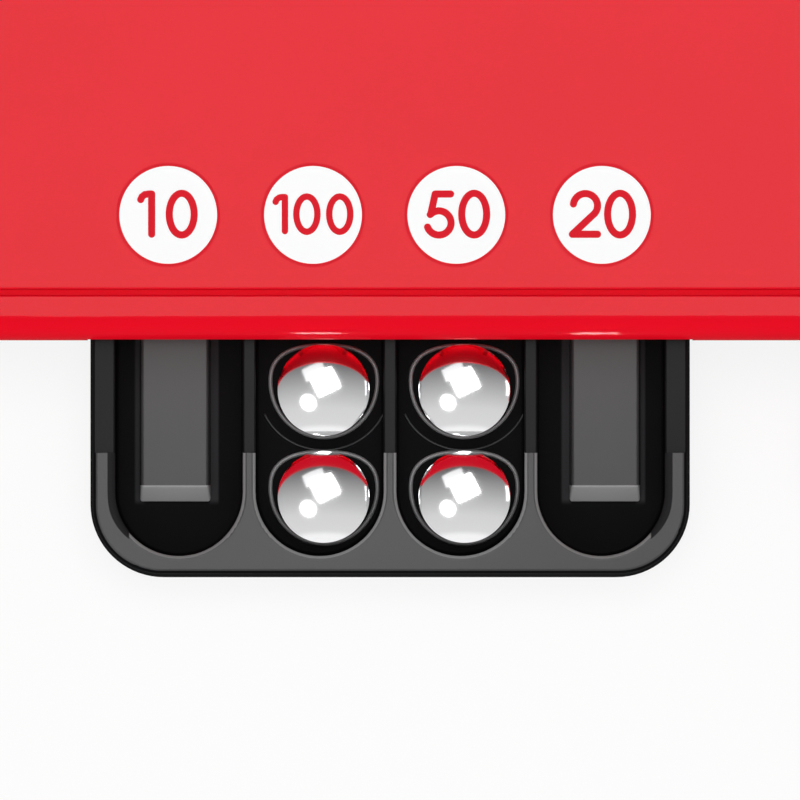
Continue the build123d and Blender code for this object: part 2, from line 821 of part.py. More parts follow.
with BuildPart() as bumper_rings:
    with BuildSketch(Plane.XY.offset(bumper_ring_height - bumper_ring_bead)):
        with Locations(*bumper_places):
            Circle(bumper_stem_radius + 2 * bumper_ring_bead)
            Circle(bumper_stem_radius + press_gap, mode=Mode.SUBTRACT)
    extrude(amount=2 * bumper_ring_bead)
    rims = bumper_rings.edges().filter_by(GeomType.CIRCLE)
    outside = rims.filter_by(lambda rim: rim.radius > bumper_stem_radius + bumper_ring_bead)
    fillet(outside, bumper_ring_bead * bumper_ring_round_share)
write(bumper_rings, "bumper_rings")

with BuildPart() as bumper_caps:
    for across, along in bumper_places:
        with BuildSketch(Plane.XZ.offset(-along)):
            with BuildLine():
                Line((across, bumper_height), (across + bumper_cap_radius, bumper_height))
                Line(
                    (across + bumper_cap_radius, bumper_height),
                    (across + bumper_cap_radius, bumper_height + bumper_cap_edge),
                )
                TangentArc(
                    (across, bumper_height + bumper_cap_height),
                    (across + bumper_cap_radius, bumper_height + bumper_cap_edge),
                    tangent=(1, 0),
                )
                Line((across, bumper_height + bumper_cap_height), (across, bumper_height))
            make_face()
        revolve(axis=Axis((across, along, 0), (0, 0, 1)))
write(bumper_caps, "bumper_caps")

# Sling posts in threes, with a rubber band stretched round each three
sling_places = [on_field(shares) for shares in sling_shares]
all_posts = [(side * across, along) for side in (-1, 1) for across, along in sling_places]

with BuildPart() as sling_posts:
    with BuildSketch():
        with Locations(*all_posts):
            Circle(post_radius)
    extrude(amount=post_height)
    with BuildSketch():
        with Locations(*all_posts):
            Circle(post_flange_radius)
    extrude(amount=post_flange)
    with BuildSketch(Plane.XY.offset(post_height)):
        with Locations(*all_posts):
            Circle(post_flange_radius)
    extrude(amount=-post_flange)
    chamfer(sling_posts.edges().group_by(Axis.Z)[-1], seam_fillet)
write(sling_posts, "sling_posts")


def sling_band(side):
    """One rubber band round three posts: the triangle between them, grown by the post's radius."""
    posts = [(side * across, along) for across, along in sling_places]
    with BuildPart() as band:
        for grow, mode in ((post_radius + band_thickness, Mode.ADD), (post_radius + press_gap, Mode.SUBTRACT)):
            with BuildSketch(Plane.XY.offset(band_place - band_height / 2)):
                with BuildLine():
                    Polyline(*posts, close=True)
                make_face()
                offset(amount=grow)
            extrude(amount=band_height, mode=mode)
    return band


write(sling_band(-1), "left_sling_band")
write(sling_band(1), "right_sling_band")


# Flippers: a grooved bat with a rubber round it, on a steel shaft through a bush in the board
def bat_plane(side, height):
    """A plane at a flipper's pivot whose X runs along the bat at rest."""
    rest = radians(flipper_rest)
    return Plane(
        origin=(side * pivot_across, pivot_along, height),
        x_dir=(-side * cos(rest), -sin(rest), 0),
        z_dir=(0, 0, 1),
    )


def bat_outline(grow):
    """Sketch a flipper's outline, grown or shrunk all round."""
    hull_of([((0, 0), flipper_root_radius + grow), ((flipper_length, 0), flipper_tip_radius + grow)])


def bat_ring(side, outer, inner, start, height):
    """A ring that follows the flipper's outline."""
    with BuildPart() as ring:
        with BuildSketch(bat_plane(side, start)):
            bat_outline(outer)
        extrude(amount=height)
        with BuildSketch(bat_plane(side, start)):
            bat_outline(inner)
        extrude(amount=height, mode=Mode.SUBTRACT)
    return ring


def flipper_bat(side):
    """One bat, with the groove that its rubber lies in and the bore that its shaft fits."""
    groove = bat_ring(side, fit, -flipper_groove, groove_start, groove_height)
    with BuildPart() as bat:
        with BuildSketch(bat_plane(side, flipper_lift)):
            bat_outline(0)
        extrude(amount=flipper_height)
        fillet(bat.faces().sort_by(Axis.Z)[-1].edges(), flipper_fillet)
        add(groove.part, mode=Mode.SUBTRACT)
        with BuildSketch(bat_plane(side, flipper_lift)):
            Circle(shaft_radius + press_gap)
        extrude(amount=flipper_height - shaft_cover, mode=Mode.SUBTRACT)
    return bat


def flipper_shaft(side):
    """One steel shaft, from the crank up into the bat."""
    with BuildPart() as shaft:
        with BuildSketch(bat_plane(side, crank_bottom)):
            Circle(shaft_radius)
        extrude(amount=flipper_top - shaft_cover - crank_bottom)
    return shaft


def crank_pin_place(side):
    """Where a crank's pin stands at rest."""
    lean = radians(flipper_swing / 2)
    return (side * (pivot_across + crank_arm * sin(lean)), pivot_along - crank_arm * cos(lean))


def crank(side):
    """One crank under the board, with a pin that the push rod moves."""
    pivot = (side * pivot_across, pivot_along)
    with BuildPart() as arm:
        with BuildSketch(Plane.XY.offset(crank_bottom)):
            hull_of([(pivot, crank_hub_radius), (crank_pin_place(side), crank_end_radius)])
            with Locations(pivot):
                Circle(shaft_radius + press_gap, mode=Mode.SUBTRACT)
        extrude(amount=crank_thickness)
        with BuildSketch(Plane.XY.offset(crank_bottom)):
            with Locations(crank_pin_place(side)):
                Circle(crank_pin_radius)
        extrude(amount=-crank_pin_length)
    return arm


groove_start = flipper_lift + flipper_flange
groove_height = flipper_height - 2 * flipper_flange
for side, hand in ((-1, "left"), (1, "right")):
    rubber = bat_ring(
        side,
        rubber_proud,
        press_gap - flipper_groove,
        groove_start + press_gap,
        groove_height - 2 * press_gap,
    )
    write(flipper_bat(side), f"{hand}_flipper_bat")
    write(rubber, f"{hand}_flipper_rubber")
    write(flipper_shaft(side), f"{hand}_flipper_shaft")
    write(crank(side), f"{hand}_crank")

with BuildPart() as flipper_bushes:
    with BuildSketch(Plane.XY.offset(-deck_thickness)):
        with Locations(*pivots):
            Circle(bush_radius)
    extrude(amount=deck_thickness)
    with BuildSketch():
        with Locations(*pivots):
            Circle(bush_flange_radius)
    extrude(amount=bush_flange)
    with BuildSketch(Plane.XY.offset(-deck_thickness)):
        with Locations(*pivots):
            Circle(shaft_radius + shaft_gap)
    extrude(amount=deck_thickness + bush_flange, mode=Mode.SUBTRACT)
write(flipper_bushes, "flipper_bushes")


# Buttons in the shell's sides, the flat rods that they push, and their return springs
def coil(plane, radius, wire, length, turns):
    """Wind one spring along a plane's normal, on two tangent arcs for each quarter turn."""
    quarters = 4 * turns

    def place(step):
        angle = pi / 2 * step
        return plane.from_local_coords(
            Vector(radius * cos(angle), radius * sin(angle), length * step / quarters)
        )

    def heading(step):
        angle = pi / 2 * step
        local = Vector(-radius * sin(angle), radius * cos(angle), length / (quarters * pi / 2))
        return (plane.from_local_coords(local) - plane.origin).normalized()

    with BuildPart() as spring:
        with BuildLine():
            for step in range(quarters):
                start, leave = place(step), heading(step)
                finish, arrive = place(step + 1), heading(step + 1)
                chord = finish - start
                along = chord.dot(leave + arrive)
                spread = 2 * (1 - leave.dot(arrive))
                reach = (sqrt(along ** 2 + spread * chord.dot(chord)) - along) / spread
                first = start + leave * reach
                second = finish - arrive * reach
                joint = (first + second) * 0.5
                TangentArc(start, joint, tangent=leave)
                TangentArc(joint, finish, tangent=second - first)
        with BuildSketch(Plane(origin=place(0), z_dir=heading(0))):
            Circle(wire)
        sweep()
    per_quarter = 6
    samples = [place(step / per_quarter) for step in range(per_quarter * quarters + 1)]
    least = min(
        (samples[one] - samples[other]).length
        for one in range(len(samples))
        for other in range(one + 3 * per_quarter, len(samples))
    )
    print(f"spring of {turns} turns: least gap to itself {least - 2 * wire:.2f} mm")
    return spring


def across_plane(across, side):
    """A plane square to the buttons' axis whose normal points in from that side."""
    return Plane(origin=(across, rod_along, -button_drop), x_dir=(0, 1, 0), z_dir=(-side, 0, 0))


def button(side, outer, inner):
    """One round button through the shell's side, with a flange that keeps it in."""
    flange_start = inner - side * stop_gap
    with BuildPart() as cap:
        with BuildSketch(across_plane(outer + side * button_reach, side)):
            Circle(button_radius)
        extrude(amount=abs(flange_start - outer) + button_reach)
        rims = cap.edges().filter_by(GeomType.CIRCLE)
        fillet(rims.sort_by(lambda rim: -side * rim.center().X)[0], button_fillet)
        with BuildSketch(across_plane(flange_start, side)):
            Circle(button_flange_radius)
        extrude(amount=button_flange)
    return cap


def push_rod(side, inner):
    """One flat rod from the button's flange to the crank, slotted for the crank's pin."""
    start = inner - side * (stop_gap + button_flange)
    pin_across, pin_along = crank_pin_place(side)
    end = pin_across - side * rod_head_length / 2
    slot_width = 2 * (crank_pin_radius + slot_gap)
    slot_length = slot_width + 2 * (pin_along - rod_along)
    with BuildPart() as rod:
        with BuildSketch(Plane.XY.offset(-button_drop - rod_thickness / 2)):
            with Locations(((start + end) / 2, rod_along)):
                Rectangle(abs(start - end), rod_width)
            with Locations((pin_across, rod_along)):
                Rectangle(rod_head_length, rod_head_width)
                SlotOverall(slot_length, slot_width, rotation=90, mode=Mode.SUBTRACT)
        extrude(amount=rod_thickness)
    return rod


for side, hand, outer, inner in (
    (-1, "left", left_edge, wall_in_left),
    (1, "right", right_edge, wall_in_right),
):
    spring_end = spring_end_gap + button_spring_wire
    spring_start = inner - side * (stop_gap + button_flange + spring_end)
    spring = coil(
        across_plane(spring_start, side),
        button_spring_radius,
        button_spring_wire,
        button_spring_length - 2 * spring_end,
        button_spring_turns,
    )
    write(button(side, outer, inner), f"{hand}_button")
    write(push_rod(side, inner), f"{hand}_push_rod")
    write(spring, f"{hand}_button_spring")


# Plunger: a rod through a bush in the fascia, with a knob, a collar, a spring and a rubber tip
def facing(along):
    """A plane square to the plunger, centred on it, whose normal points at the player."""
    return Plane(origin=(plunger_place, along, ball_radius), x_dir=(1, 0, 0), z_dir=(0, -1, 0))


plunger_spring_length = (
    plunger_travel + 2 * plunger_spring_wire * plunger_spring_turns + plunger_spring_spare
)
sleeve_end = fascia + sleeve_length
collar_start = sleeve_end + plunger_spring_length
plunger_reach = collar_start + collar_thickness + plunger_tail
neck_start = -(sleeve_flange + fit)
knob_start = neck_start - knob_neck
rod_start = knob_start - knob_length / 2

with BuildPart() as plunger_rod:
    with BuildSketch(facing(plunger_reach)):
        Circle(plunger_radius)
    extrude(amount=plunger_reach - rod_start)
write(plunger_rod, "plunger_rod")

with BuildPart() as plunger_knob:
    with BuildSketch(facing(knob_start)):
        Circle(knob_radius)
    extrude(amount=knob_length)
    rims = plunger_knob.edges().filter_by(GeomType.CIRCLE).sort_by(Axis.Y)
    fillet(rims[0], knob_radius * knob_front_share)
    rims = plunger_knob.edges().filter_by(GeomType.CIRCLE).sort_by(Axis.Y)
    fillet(rims[-1], knob_radius * knob_back_share)
    with BuildSketch(facing(neck_start)):
        Circle(knob_neck_radius)
    extrude(amount=knob_neck)
    with BuildSketch(facing(neck_start)):
        Circle(plunger_radius + press_gap)
    extrude(amount=neck_start - rod_start, mode=Mode.SUBTRACT)
write(plunger_knob, "plunger_knob")

with BuildPart() as plunger_tip:
    with BuildSketch(facing(plunger_reach + tip_length)):
        Circle(tip_radius)
    extrude(amount=tip_length + tip_grip)
    fillet(plunger_tip.edges().filter_by(GeomType.CIRCLE).sort_by(Axis.Y)[-1], tip_radius * tip_round_share)
    with BuildSketch(facing(plunger_reach)):
        Circle(plunger_radius + press_gap)
    extrude(amount=tip_grip, mode=Mode.SUBTRACT)
write(plunger_tip, "plunger_tip")

with BuildPart() as plunger_collar:
    with BuildSketch(facing(collar_start)):
        Circle(collar_radius)
        Circle(plunger_radius + press_gap, mode=Mode.SUBTRACT)
    extrude(amount=-collar_thickness)
write(plunger_collar, "plunger_collar")

with BuildPart() as plunger_bush:
    with BuildSketch(facing(0)):
        Circle(sleeve_flange_radius)
    extrude(amount=sleeve_flange)
    with BuildSketch(facing(0)):
        Circle(sleeve_radius)
    extrude(amount=-sleeve_end)
    with BuildSketch(facing(-sleeve_flange)):
        Circle(plunger_radius + plunger_gap)
    extrude(amount=-sleeve_end - sleeve_flange, mode=Mode.SUBTRACT)
write(plunger_bush, "plunger_bush")

with BuildPart() as plunger_nut:
    with BuildSketch(facing(fascia)):
        RegularPolygon(nut_across / 2, 6, major_radius=False)
        Circle(sleeve_radius + press_gap, mode=Mode.SUBTRACT)
    extrude(amount=-nut_thickness)
write(plunger_nut, "plunger_nut")

spring_end = spring_end_gap + plunger_spring_wire
spring_seat = Plane(
    origin=(plunger_place, sleeve_end + spring_end, ball_radius), x_dir=(1, 0, 0), z_dir=(0, 1, 0)
)
plunger_spring = coil(
    spring_seat,
    plunger_spring_radius,
    plunger_spring_wire,
    plunger_spring_length - 2 * spring_end,
    plunger_spring_turns,
)
write(plunger_spring, "plunger_spring")

# Gate: a bar across the shooter lane with two ears, a pin through them and a flap that hangs on it
gate_place = arch_start - gate_setback
gate_height = rail_height - gate_drop
bar_bottom = ball_diameter + gate_bar_headroom
bar_back = gate_place - gate_sleeve_radius - gate_gap
ear_radius = gate_sleeve_radius + gate_gap
ear_places = [shooter_left + fit + gate_ear / 2, shooter_right - fit - gate_ear / 2]
flap_left = ear_places[0] + gate_ear / 2 + gate_gap
flap_right = ear_places[1] - gate_ear / 2 - gate_gap

with BuildPart() as gate_bracket:
    with BuildSketch(Plane.XZ.offset(-bar_back)):
        with BuildLine():
            Polyline(
                (field_half, wall_height),
                (field_half, rail_height),
                (shooter_right, rail_height),
                (shooter_right, bar_bottom),
                (shooter_left + fit, bar_bottom),
                (shooter_left + fit, wall_height),
                close=True,
            )
        make_face()
    extrude(amount=gate_bar_depth)
    for across in ear_places:
        with BuildSketch(Plane.YZ.offset(across - gate_ear / 2)):
            with Locations(((bar_back + gate_place) / 2, gate_height)):
                Rectangle(gate_place - bar_back, 2 * ear_radius)
            with Locations((gate_place, gate_height)):
                Circle(ear_radius)
                Circle(gate_pin_radius + press_gap, mode=Mode.SUBTRACT)
        extrude(amount=gate_ear)
write(gate_bracket, "gate_bracket")

with BuildPart() as gate_pin:
    with BuildSketch(Plane.YZ.offset(ear_places[0] - gate_ear / 2)):
        with Locations((gate_place, gate_height)):
            Circle(gate_pin_radius)
    extrude(amount=ear_places[1] - ear_places[0] + gate_ear)
write(gate_pin, "gate_pin")

with BuildPart() as gate_flap:
    with BuildSketch(Plane.YZ.offset(flap_left)):
        with Locations((gate_place, gate_height)):
            Circle(gate_sleeve_radius)
        with Locations((
            gate_place - gate_sleeve_radius + gate_flap_thickness / 2,
            gate_height - gate_flap_length / 2,
        )):
            Rectangle(gate_flap_thickness, gate_flap_length)
        with Locations((gate_place, gate_height)):
            Circle(gate_pin_radius + shaft_gap, mode=Mode.SUBTRACT)
    extrude(amount=flap_right - flap_left)
    fillet(gate_flap.edges().filter_by(Axis.Y).group_by(Axis.Z)[0], gate_flap_corner)
write(gate_flap, "gate_flap")
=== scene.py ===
import json
from math import copysign, cos, pi, radians, sin

import bmesh
import bpy
from mathutils import Matrix, Vector


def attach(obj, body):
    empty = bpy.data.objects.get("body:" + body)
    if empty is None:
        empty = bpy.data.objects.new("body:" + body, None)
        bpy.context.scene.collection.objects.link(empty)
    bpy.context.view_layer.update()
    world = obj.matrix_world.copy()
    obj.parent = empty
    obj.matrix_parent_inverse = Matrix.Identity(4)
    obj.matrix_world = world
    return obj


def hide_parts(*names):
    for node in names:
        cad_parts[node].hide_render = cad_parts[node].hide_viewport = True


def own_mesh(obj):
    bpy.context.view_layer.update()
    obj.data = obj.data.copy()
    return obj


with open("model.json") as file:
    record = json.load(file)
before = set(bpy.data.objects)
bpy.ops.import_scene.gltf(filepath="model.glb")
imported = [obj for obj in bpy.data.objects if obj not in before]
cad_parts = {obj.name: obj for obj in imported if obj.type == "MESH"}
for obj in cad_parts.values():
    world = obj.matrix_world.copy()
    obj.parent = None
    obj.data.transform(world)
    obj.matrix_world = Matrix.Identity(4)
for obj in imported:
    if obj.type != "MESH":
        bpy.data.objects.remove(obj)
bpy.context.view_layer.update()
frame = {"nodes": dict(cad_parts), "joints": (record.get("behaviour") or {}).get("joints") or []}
nodes = frame["nodes"]

# The table and the studio: a white table top, a softbox, a round lamp, a window, a side lamp, a low panel and
# three small lamps near the lip, in a grey room with a red card that metal mirrors. The camera looks square
# on to the deck from far off. Places are millimetres across and up the deck from the nose of the lip.
millimetre = 0.001
joints = {joint["name"]: joint for joint in frame["joints"]}
left_pivot = Vector(joints["left_flipper_swing"]["pos_m"])
right_pivot = Vector(joints["right_flipper_swing"]["pos_m"])
deck_across = Vector((1.0, 0.0, 0.0))
deck_normal = Vector(joints["left_flipper_swing"]["axis"]).normalized()
deck_along = deck_normal.cross(deck_across)
deck_origin = (left_pivot + right_pivot) / 2


def extent(name, axis):
    """How far a CAD node reaches along a direction, from the deck's origin, in millimetres."""
    solid = nodes[name]
    reaches = [
        axis.dot(solid.matrix_world @ point.co - deck_origin) / millimetre
        for point in solid.data.vertices
    ]
    return min(reaches), max(reaches)


deck_origin = deck_origin + deck_along * extent("front_rail", deck_along)[0] * millimetre


def on_deck(across, along, height):
    """A point given in millimetres across and up the sloping deck, and out of it."""
    return deck_origin + (deck_across * across + deck_along * along + deck_normal * height) * millimetre


def facing(direction, place):
    """A placing whose local -Z points along a direction, with local Y up the deck."""
    back = -direction.normalized()
    right = deck_along.cross(back).normalized()
    turn = Matrix((right, back.cross(right), back)).transposed().to_4x4()
    return Matrix.Translation(place) @ turn


photo_middle = on_deck(1.38, -8.28, 8.0)
photo_width = 0.1104
camera_data = bpy.data.cameras.new("camera")
camera_data.lens = 400.0
camera_data.sensor_width = 36.0
camera_data.clip_end = 20.0
camera_reach = photo_width * camera_data.lens / camera_data.sensor_width
camera = bpy.data.objects.new("camera", camera_data)
camera.matrix_world = facing(-deck_normal, photo_middle + deck_normal * camera_reach)
bpy.context.scene.collection.objects.link(camera)
bpy.context.scene.camera = camera
bpy.context.scene.view_settings.view_transform = "Standard"


def studio_place(across, along, out):
    """A place for a lamp, in metres from the middle of the picture."""
    return photo_middle + deck_across * across + deck_along * along + deck_normal * out


def studio_lamp(name, place, size, radiance, target=photo_middle, turn=0.0, round_lamp=False):
    """One area lamp at a place, aimed at another, with its size in metres and how bright it looks."""
    data = bpy.data.lights.new(name, "AREA")
    data.shape = "DISK" if round_lamp else "RECTANGLE"
    data.size, data.size_y = size
    face = pi / 4 * size[0] * size[0] if round_lamp else size[0] * size[1]
    data.energy = radiance * pi * face
    lamp = bpy.data.objects.new(name, data)
    lamp.matrix_world = facing(target - place, place) @ Matrix.Rotation(turn, 4, "Z")
    lamp.visible_camera = False
    bpy.context.scene.collection.objects.link(lamp)
    return lamp


softbox_turn = radians(26)
studio_lamp(
    "softbox", studio_place(0.012, 0.12, 0.587), size=(0.35, 0.33), radiance=4.85, turn=softbox_turn
)
studio_lamp(
    "round_lamp", studio_place(-0.219, -0.17, 0.532), size=(0.233, 0.233), radiance=2.0, round_lamp=True
)
studio_lamp("window", studio_place(-0.14, 0.252, 0.514), size=(0.3, 0.2), radiance=0.8, turn=softbox_turn)
studio_lamp("side_lamp", studio_place(0.58, 0.03, 0.15), size=(0.16, 0.2), radiance=1.2)
front_panel = studio_lamp(
    "front_panel", studio_place(0.0, -0.62, 0.2), size=(1.3, 0.34), radiance=0.25
)
front_panel.visible_glossy = False
tunnel_along = 22.0
tunnel_floor = 0.4
tunnel_roof = 10.0
tunnel_lamp = studio_lamp(
    "tunnel_lamp",
    on_deck(0.0, tunnel_along, tunnel_floor),
    size=(0.08, 0.024),
    radiance=1.8,
    target=on_deck(0.0, tunnel_along, tunnel_roof),
)
tunnel_lamp.visible_glossy = False
lip_only = bpy.data.collections.new("lip_only")
lip_only.objects.link(nodes["front_rail"])
glint_places = (-10.6, 29.9)
lip_lamp_along = -80.0
lip_lamp_height = 2.5
lip_height = 15.0
for number, across in enumerate(glint_places):
    lip_lamp = studio_lamp(
        f"lip_lamp_{number}",
        on_deck(across, lip_lamp_along, lip_lamp_height),
        size=(0.006, 0.03),
        radiance=110.0,
        target=on_deck(across, 0.0, lip_height),
    )
    lip_lamp.visible_diffuse = False
    lip_lamp.light_linking.receiver_collection = lip_only

world = bpy.data.worlds.new("room")
bpy.context.scene.world = world
world.use_nodes = True
world_nodes = world.node_tree.nodes
world_links = world.node_tree.links
world_nodes.clear()
room_place = world_nodes.new("ShaderNodeTexCoord")
room_split = world_nodes.new("ShaderNodeSeparateXYZ")
room_map = world_nodes.new("ShaderNodeMapRange")
room_map.inputs["From Min"].default_value = -1.0
room_map.inputs["From Max"].default_value = 1.0
room_grade = world_nodes.new("ShaderNodeValToRGB")
room_front, room_back = room_grade.color_ramp.elements
room_front.position, room_front.color = 0.05, (0.98, 0.98, 0.98, 1.0)
room_back.position, room_back.color = 0.8, (0.09, 0.09, 0.094, 1.0)
for position, level in ((0.09, 0.74), (0.25, 0.7)):
    room_grade.color_ramp.elements.new(position).color = (level, level, level, 1.0)
card_direction = (0.0, 0.8, -0.6)
card_red = (0.6, 0.005, 0.018, 1.0)
room_behind = world_nodes.new("ShaderNodeVectorMath")
room_behind.operation = "DOT_PRODUCT"
room_behind.inputs[1].default_value = card_direction
room_card = world_nodes.new("ShaderNodeMath")
room_card.operation = "GREATER_THAN"
room_card.inputs[1].default_value = 0.0
room_mirrored = world_nodes.new("ShaderNodeMath")
room_mirrored.operation = "MULTIPLY"
room_red = world_nodes.new("ShaderNodeBackground")
room_red.inputs["Color"].default_value = card_red
room_both = world_nodes.new("ShaderNodeMixShader")
room_light = world_nodes.new("ShaderNodeBackground")
room_white = world_nodes.new("ShaderNodeBackground")
room_white.inputs["Color"].default_value = (1.0, 1.0, 1.0, 1.0)
room_rays = world_nodes.new("ShaderNodeLightPath")
room_mix = world_nodes.new("ShaderNodeMixShader")
room_out = world_nodes.new("ShaderNodeOutputWorld")
world_links.new(room_place.outputs["Generated"], room_split.inputs["Vector"])
world_links.new(room_split.outputs["Y"], room_map.inputs["Value"])
world_links.new(room_map.outputs["Result"], room_grade.inputs["Fac"])
world_links.new(room_grade.outputs["Color"], room_light.inputs["Color"])
world_links.new(room_place.outputs["Generated"], room_behind.inputs[0])
world_links.new(room_behind.outputs["Value"], room_card.inputs[0])
world_links.new(room_card.outputs["Value"], room_mirrored.inputs[0])
world_links.new(room_rays.outputs["Is Glossy Ray"], room_mirrored.inputs[1])
world_links.new(room_mirrored.outputs["Value"], room_both.inputs["Fac"])
world_links.new(room_light.outputs["Background"], room_both.inputs[1])
world_links.new(room_red.outputs["Background"], room_both.inputs[2])
world_links.new(room_rays.outputs["Is Camera Ray"], room_mix.inputs["Fac"])
world_links.new(room_both.outputs["Shader"], room_mix.inputs[1])
world_links.new(room_white.outputs["Background"], room_mix.inputs[2])
world_links.new(room_mix.outputs["Shader"], room_out.inputs["Surface"])

table_reach = 4.0
table_gap = 0.0002
table_glow_share = 0.85
table_mesh = bpy.data.meshes.new("table_top")
table_mesh.from_pydata(
    [(table_reach * x, table_reach * y, -table_gap) for x, y in ((-1, -1), (1, -1), (1, 1), (-1, 1))],
    [],
    [(0, 1, 2, 3)],
)
table_top = bpy.data.objects.new("table_top", table_mesh)
bpy.context.scene.collection.objects.link(table_top)
table_finish = bpy.data.materials.new("table_white")
table_finish.use_nodes = True
table_nodes = table_finish.node_tree.nodes
table_links = table_finish.node_tree.links
table_nodes.clear()
table_matt = table_nodes.new("ShaderNodeBsdfDiffuse")
table_matt.inputs["Color"].default_value = (0.88, 0.88, 0.88, 1.0)
table_glow = table_nodes.new("ShaderNodeEmission")
table_rays = table_nodes.new("ShaderNodeLightPath")
table_seen = table_nodes.new("ShaderNodeMath")
table_seen.operation = "MAXIMUM"
table_share = table_nodes.new("ShaderNodeMath")
table_share.operation = "MULTIPLY"
table_share.inputs[1].default_value = table_glow_share
table_mix = table_nodes.new("ShaderNodeMixShader")
table_out = table_nodes.new("ShaderNodeOutputMaterial")
table_links.new(table_rays.outputs["Is Camera Ray"], table_seen.inputs[0])
table_links.new(table_rays.outputs["Is Glossy Ray"], table_seen.inputs[1])
table_links.new(table_seen.outputs["Value"], table_share.inputs[0])
table_links.new(table_share.outputs["Value"], table_mix.inputs["Fac"])
table_links.new(table_matt.outputs["BSDF"], table_mix.inputs[1])
table_links.new(table_glow.outputs["Emission"], table_mix.inputs[2])
table_links.new(table_mix.outputs["Shader"], table_out.inputs["Surface"])
table_mesh.materials.append(table_finish)

# Base shell: one deep black moulding that holds everything. Its outside has a fine spark texture,
# and its ribs, rod guides and screw bosses are moulded in one with it.


def grain_group():
    """Fine moulded texture: a height for the bump and a roughness that wanders a little."""
    group = bpy.data.node_groups.new("moulded_grain", "ShaderNodeTree")
    for name, kind in (
        ("Place", "NodeSocketVector"),
        ("Scale", "NodeSocketFloat"),
        ("Roughness", "NodeSocketFloat"),
        ("Spread", "NodeSocketFloat"),
    ):
        group.interface.new_socket(name, in_out="INPUT", socket_type=kind)
    for name in ("Height", "Roughness"):
        group.interface.new_socket(name, in_out="OUTPUT", socket_type="NodeSocketFloat")
    start = group.nodes.new("NodeGroupInput")
    end = group.nodes.new("NodeGroupOutput")
    fine = group.nodes.new("ShaderNodeTexNoise")
    fine.inputs["Detail"].default_value = 3.0
    broad = group.nodes.new("ShaderNodeTexNoise")
    broad.inputs["Scale"].default_value = 60.0
    broad.inputs["Detail"].default_value = 4.0
    centred = group.nodes.new("ShaderNodeMath")
    centred.operation = "SUBTRACT"
    centred.inputs[1].default_value = 0.5
    swing = group.nodes.new("ShaderNodeMath")
    swing.operation = "MULTIPLY_ADD"
    group.links.new(start.outputs["Place"], fine.inputs["Vector"])
    group.links.new(start.outputs["Scale"], fine.inputs["Scale"])
    group.links.new(start.outputs["Place"], broad.inputs["Vector"])
    group.links.new(broad.outputs["Fac"], centred.inputs[0])
    group.links.new(centred.outputs["Value"], swing.inputs[0])
    group.links.new(start.outputs["Spread"], swing.inputs[1])
    group.links.new(start.outputs["Roughness"], swing.inputs[2])
    group.links.new(fine.outputs["Fac"], end.inputs["Height"])
    group.links.new(swing.outputs["Value"], end.inputs["Roughness"])
    return group


moulded_grain = grain_group()


def mottle_group():
    """Two near shades of one colour, mixed in soft patches, as dyed plastic and rubber show them."""
    group = bpy.data.node_groups.new("dye_mottle", "ShaderNodeTree")
    for name, kind in (
        ("Place", "NodeSocketVector"),
        ("Scale", "NodeSocketFloat"),
        ("One", "NodeSocketColor"),
        ("Other", "NodeSocketColor"),
    ):
        group.interface.new_socket(name, in_out="INPUT", socket_type=kind)
    group.interface.new_socket("Color", in_out="OUTPUT", socket_type="NodeSocketColor")
    start = group.nodes.new("NodeGroupInput")
    end = group.nodes.new("NodeGroupOutput")
    patches = group.nodes.new("ShaderNodeTexNoise")
    patches.inputs["Detail"].default_value = 5.0
    mix = group.nodes.new("ShaderNodeMix")
    mix.data_type = "RGBA"
    group.links.new(start.outputs["Place"], patches.inputs["Vector"])
    group.links.new(start.outputs["Scale"], patches.inputs["Scale"])
    group.links.new(patches.outputs["Fac"], mix.inputs["Factor"])
    group.links.new(start.outputs["One"], mix.inputs["A"])
    group.links.new(start.outputs["Other"], mix.inputs["B"])
    group.links.new(mix.outputs["Result"], end.inputs["Color"])
    return group


dye_mottle = mottle_group()


class Finish:
    """One material under making: its tree, its shader, and the place that its patterns are laid on."""

    def __init__(self, name):
        self.material = bpy.data.materials.new(name)
        self.material.use_nodes = True
        self.tree = self.material.node_tree
        self.shader = self.tree.nodes["Principled BSDF"]
        self.place = self.tree.nodes.new("ShaderNodeTexCoord").outputs["Object"]

    def add(self, kind):
        return self.tree.nodes.new(kind)

    def link(self, start, end):
        self.tree.links.new(start, end)

    def group(self, tree, **values):
        """Place a shared effect, with its own values, on this material's place."""
        node = self.add("ShaderNodeGroup")
        node.node_tree = tree
        self.link(self.place, node.inputs["Place"])
        for name, value in values.items():
            node.inputs[name].default_value = value
        return node

    def shade(self, one, other, scale):
        """The mottled colour between two shades."""
        return self.group(dye_mottle, Scale=scale, One=(*one, 1.0), Other=(*other, 1.0)).outputs["Color"]

    def surface(self, grain, roughness, spread, bump):
        """Fine grain for the bump, and the roughness that goes with it."""
        texture = self.group(moulded_grain, Scale=grain, Roughness=roughness, Spread=spread)
        self.link(texture.outputs["Roughness"], self.shader.inputs["Roughness"])
        if bump == 0.0:
            return
        node = self.add("ShaderNodeBump")
        node.inputs["Strength"].default_value = bump
        node.inputs["Distance"].default_value = 0.0002
        self.link(texture.outputs["Height"], node.inputs["Height"])
        self.link(node.outputs["Normal"], self.shader.inputs["Normal"])


def dyed(name, one, other, roughness, spread=0.08, grain=4000.0, bump=0.03, specular=0.5, mottle=90.0):
    """A moulded, dyed finish: mottled colour, fine grain, and a roughness that wanders."""
    made = Finish(name)
    made.link(made.shade(one, other, mottle), made.shader.inputs["Base Color"])
    made.surface(grain, roughness, spread, bump)
    made.shader.inputs["Specular IOR Level"].default_value = specular
    return made


def dress(made, *names):
    """Give CAD nodes a finish."""
    for name in names:
        mesh = nodes[name].data
        mesh.materials.clear()
        mesh.materials.append(made.material)


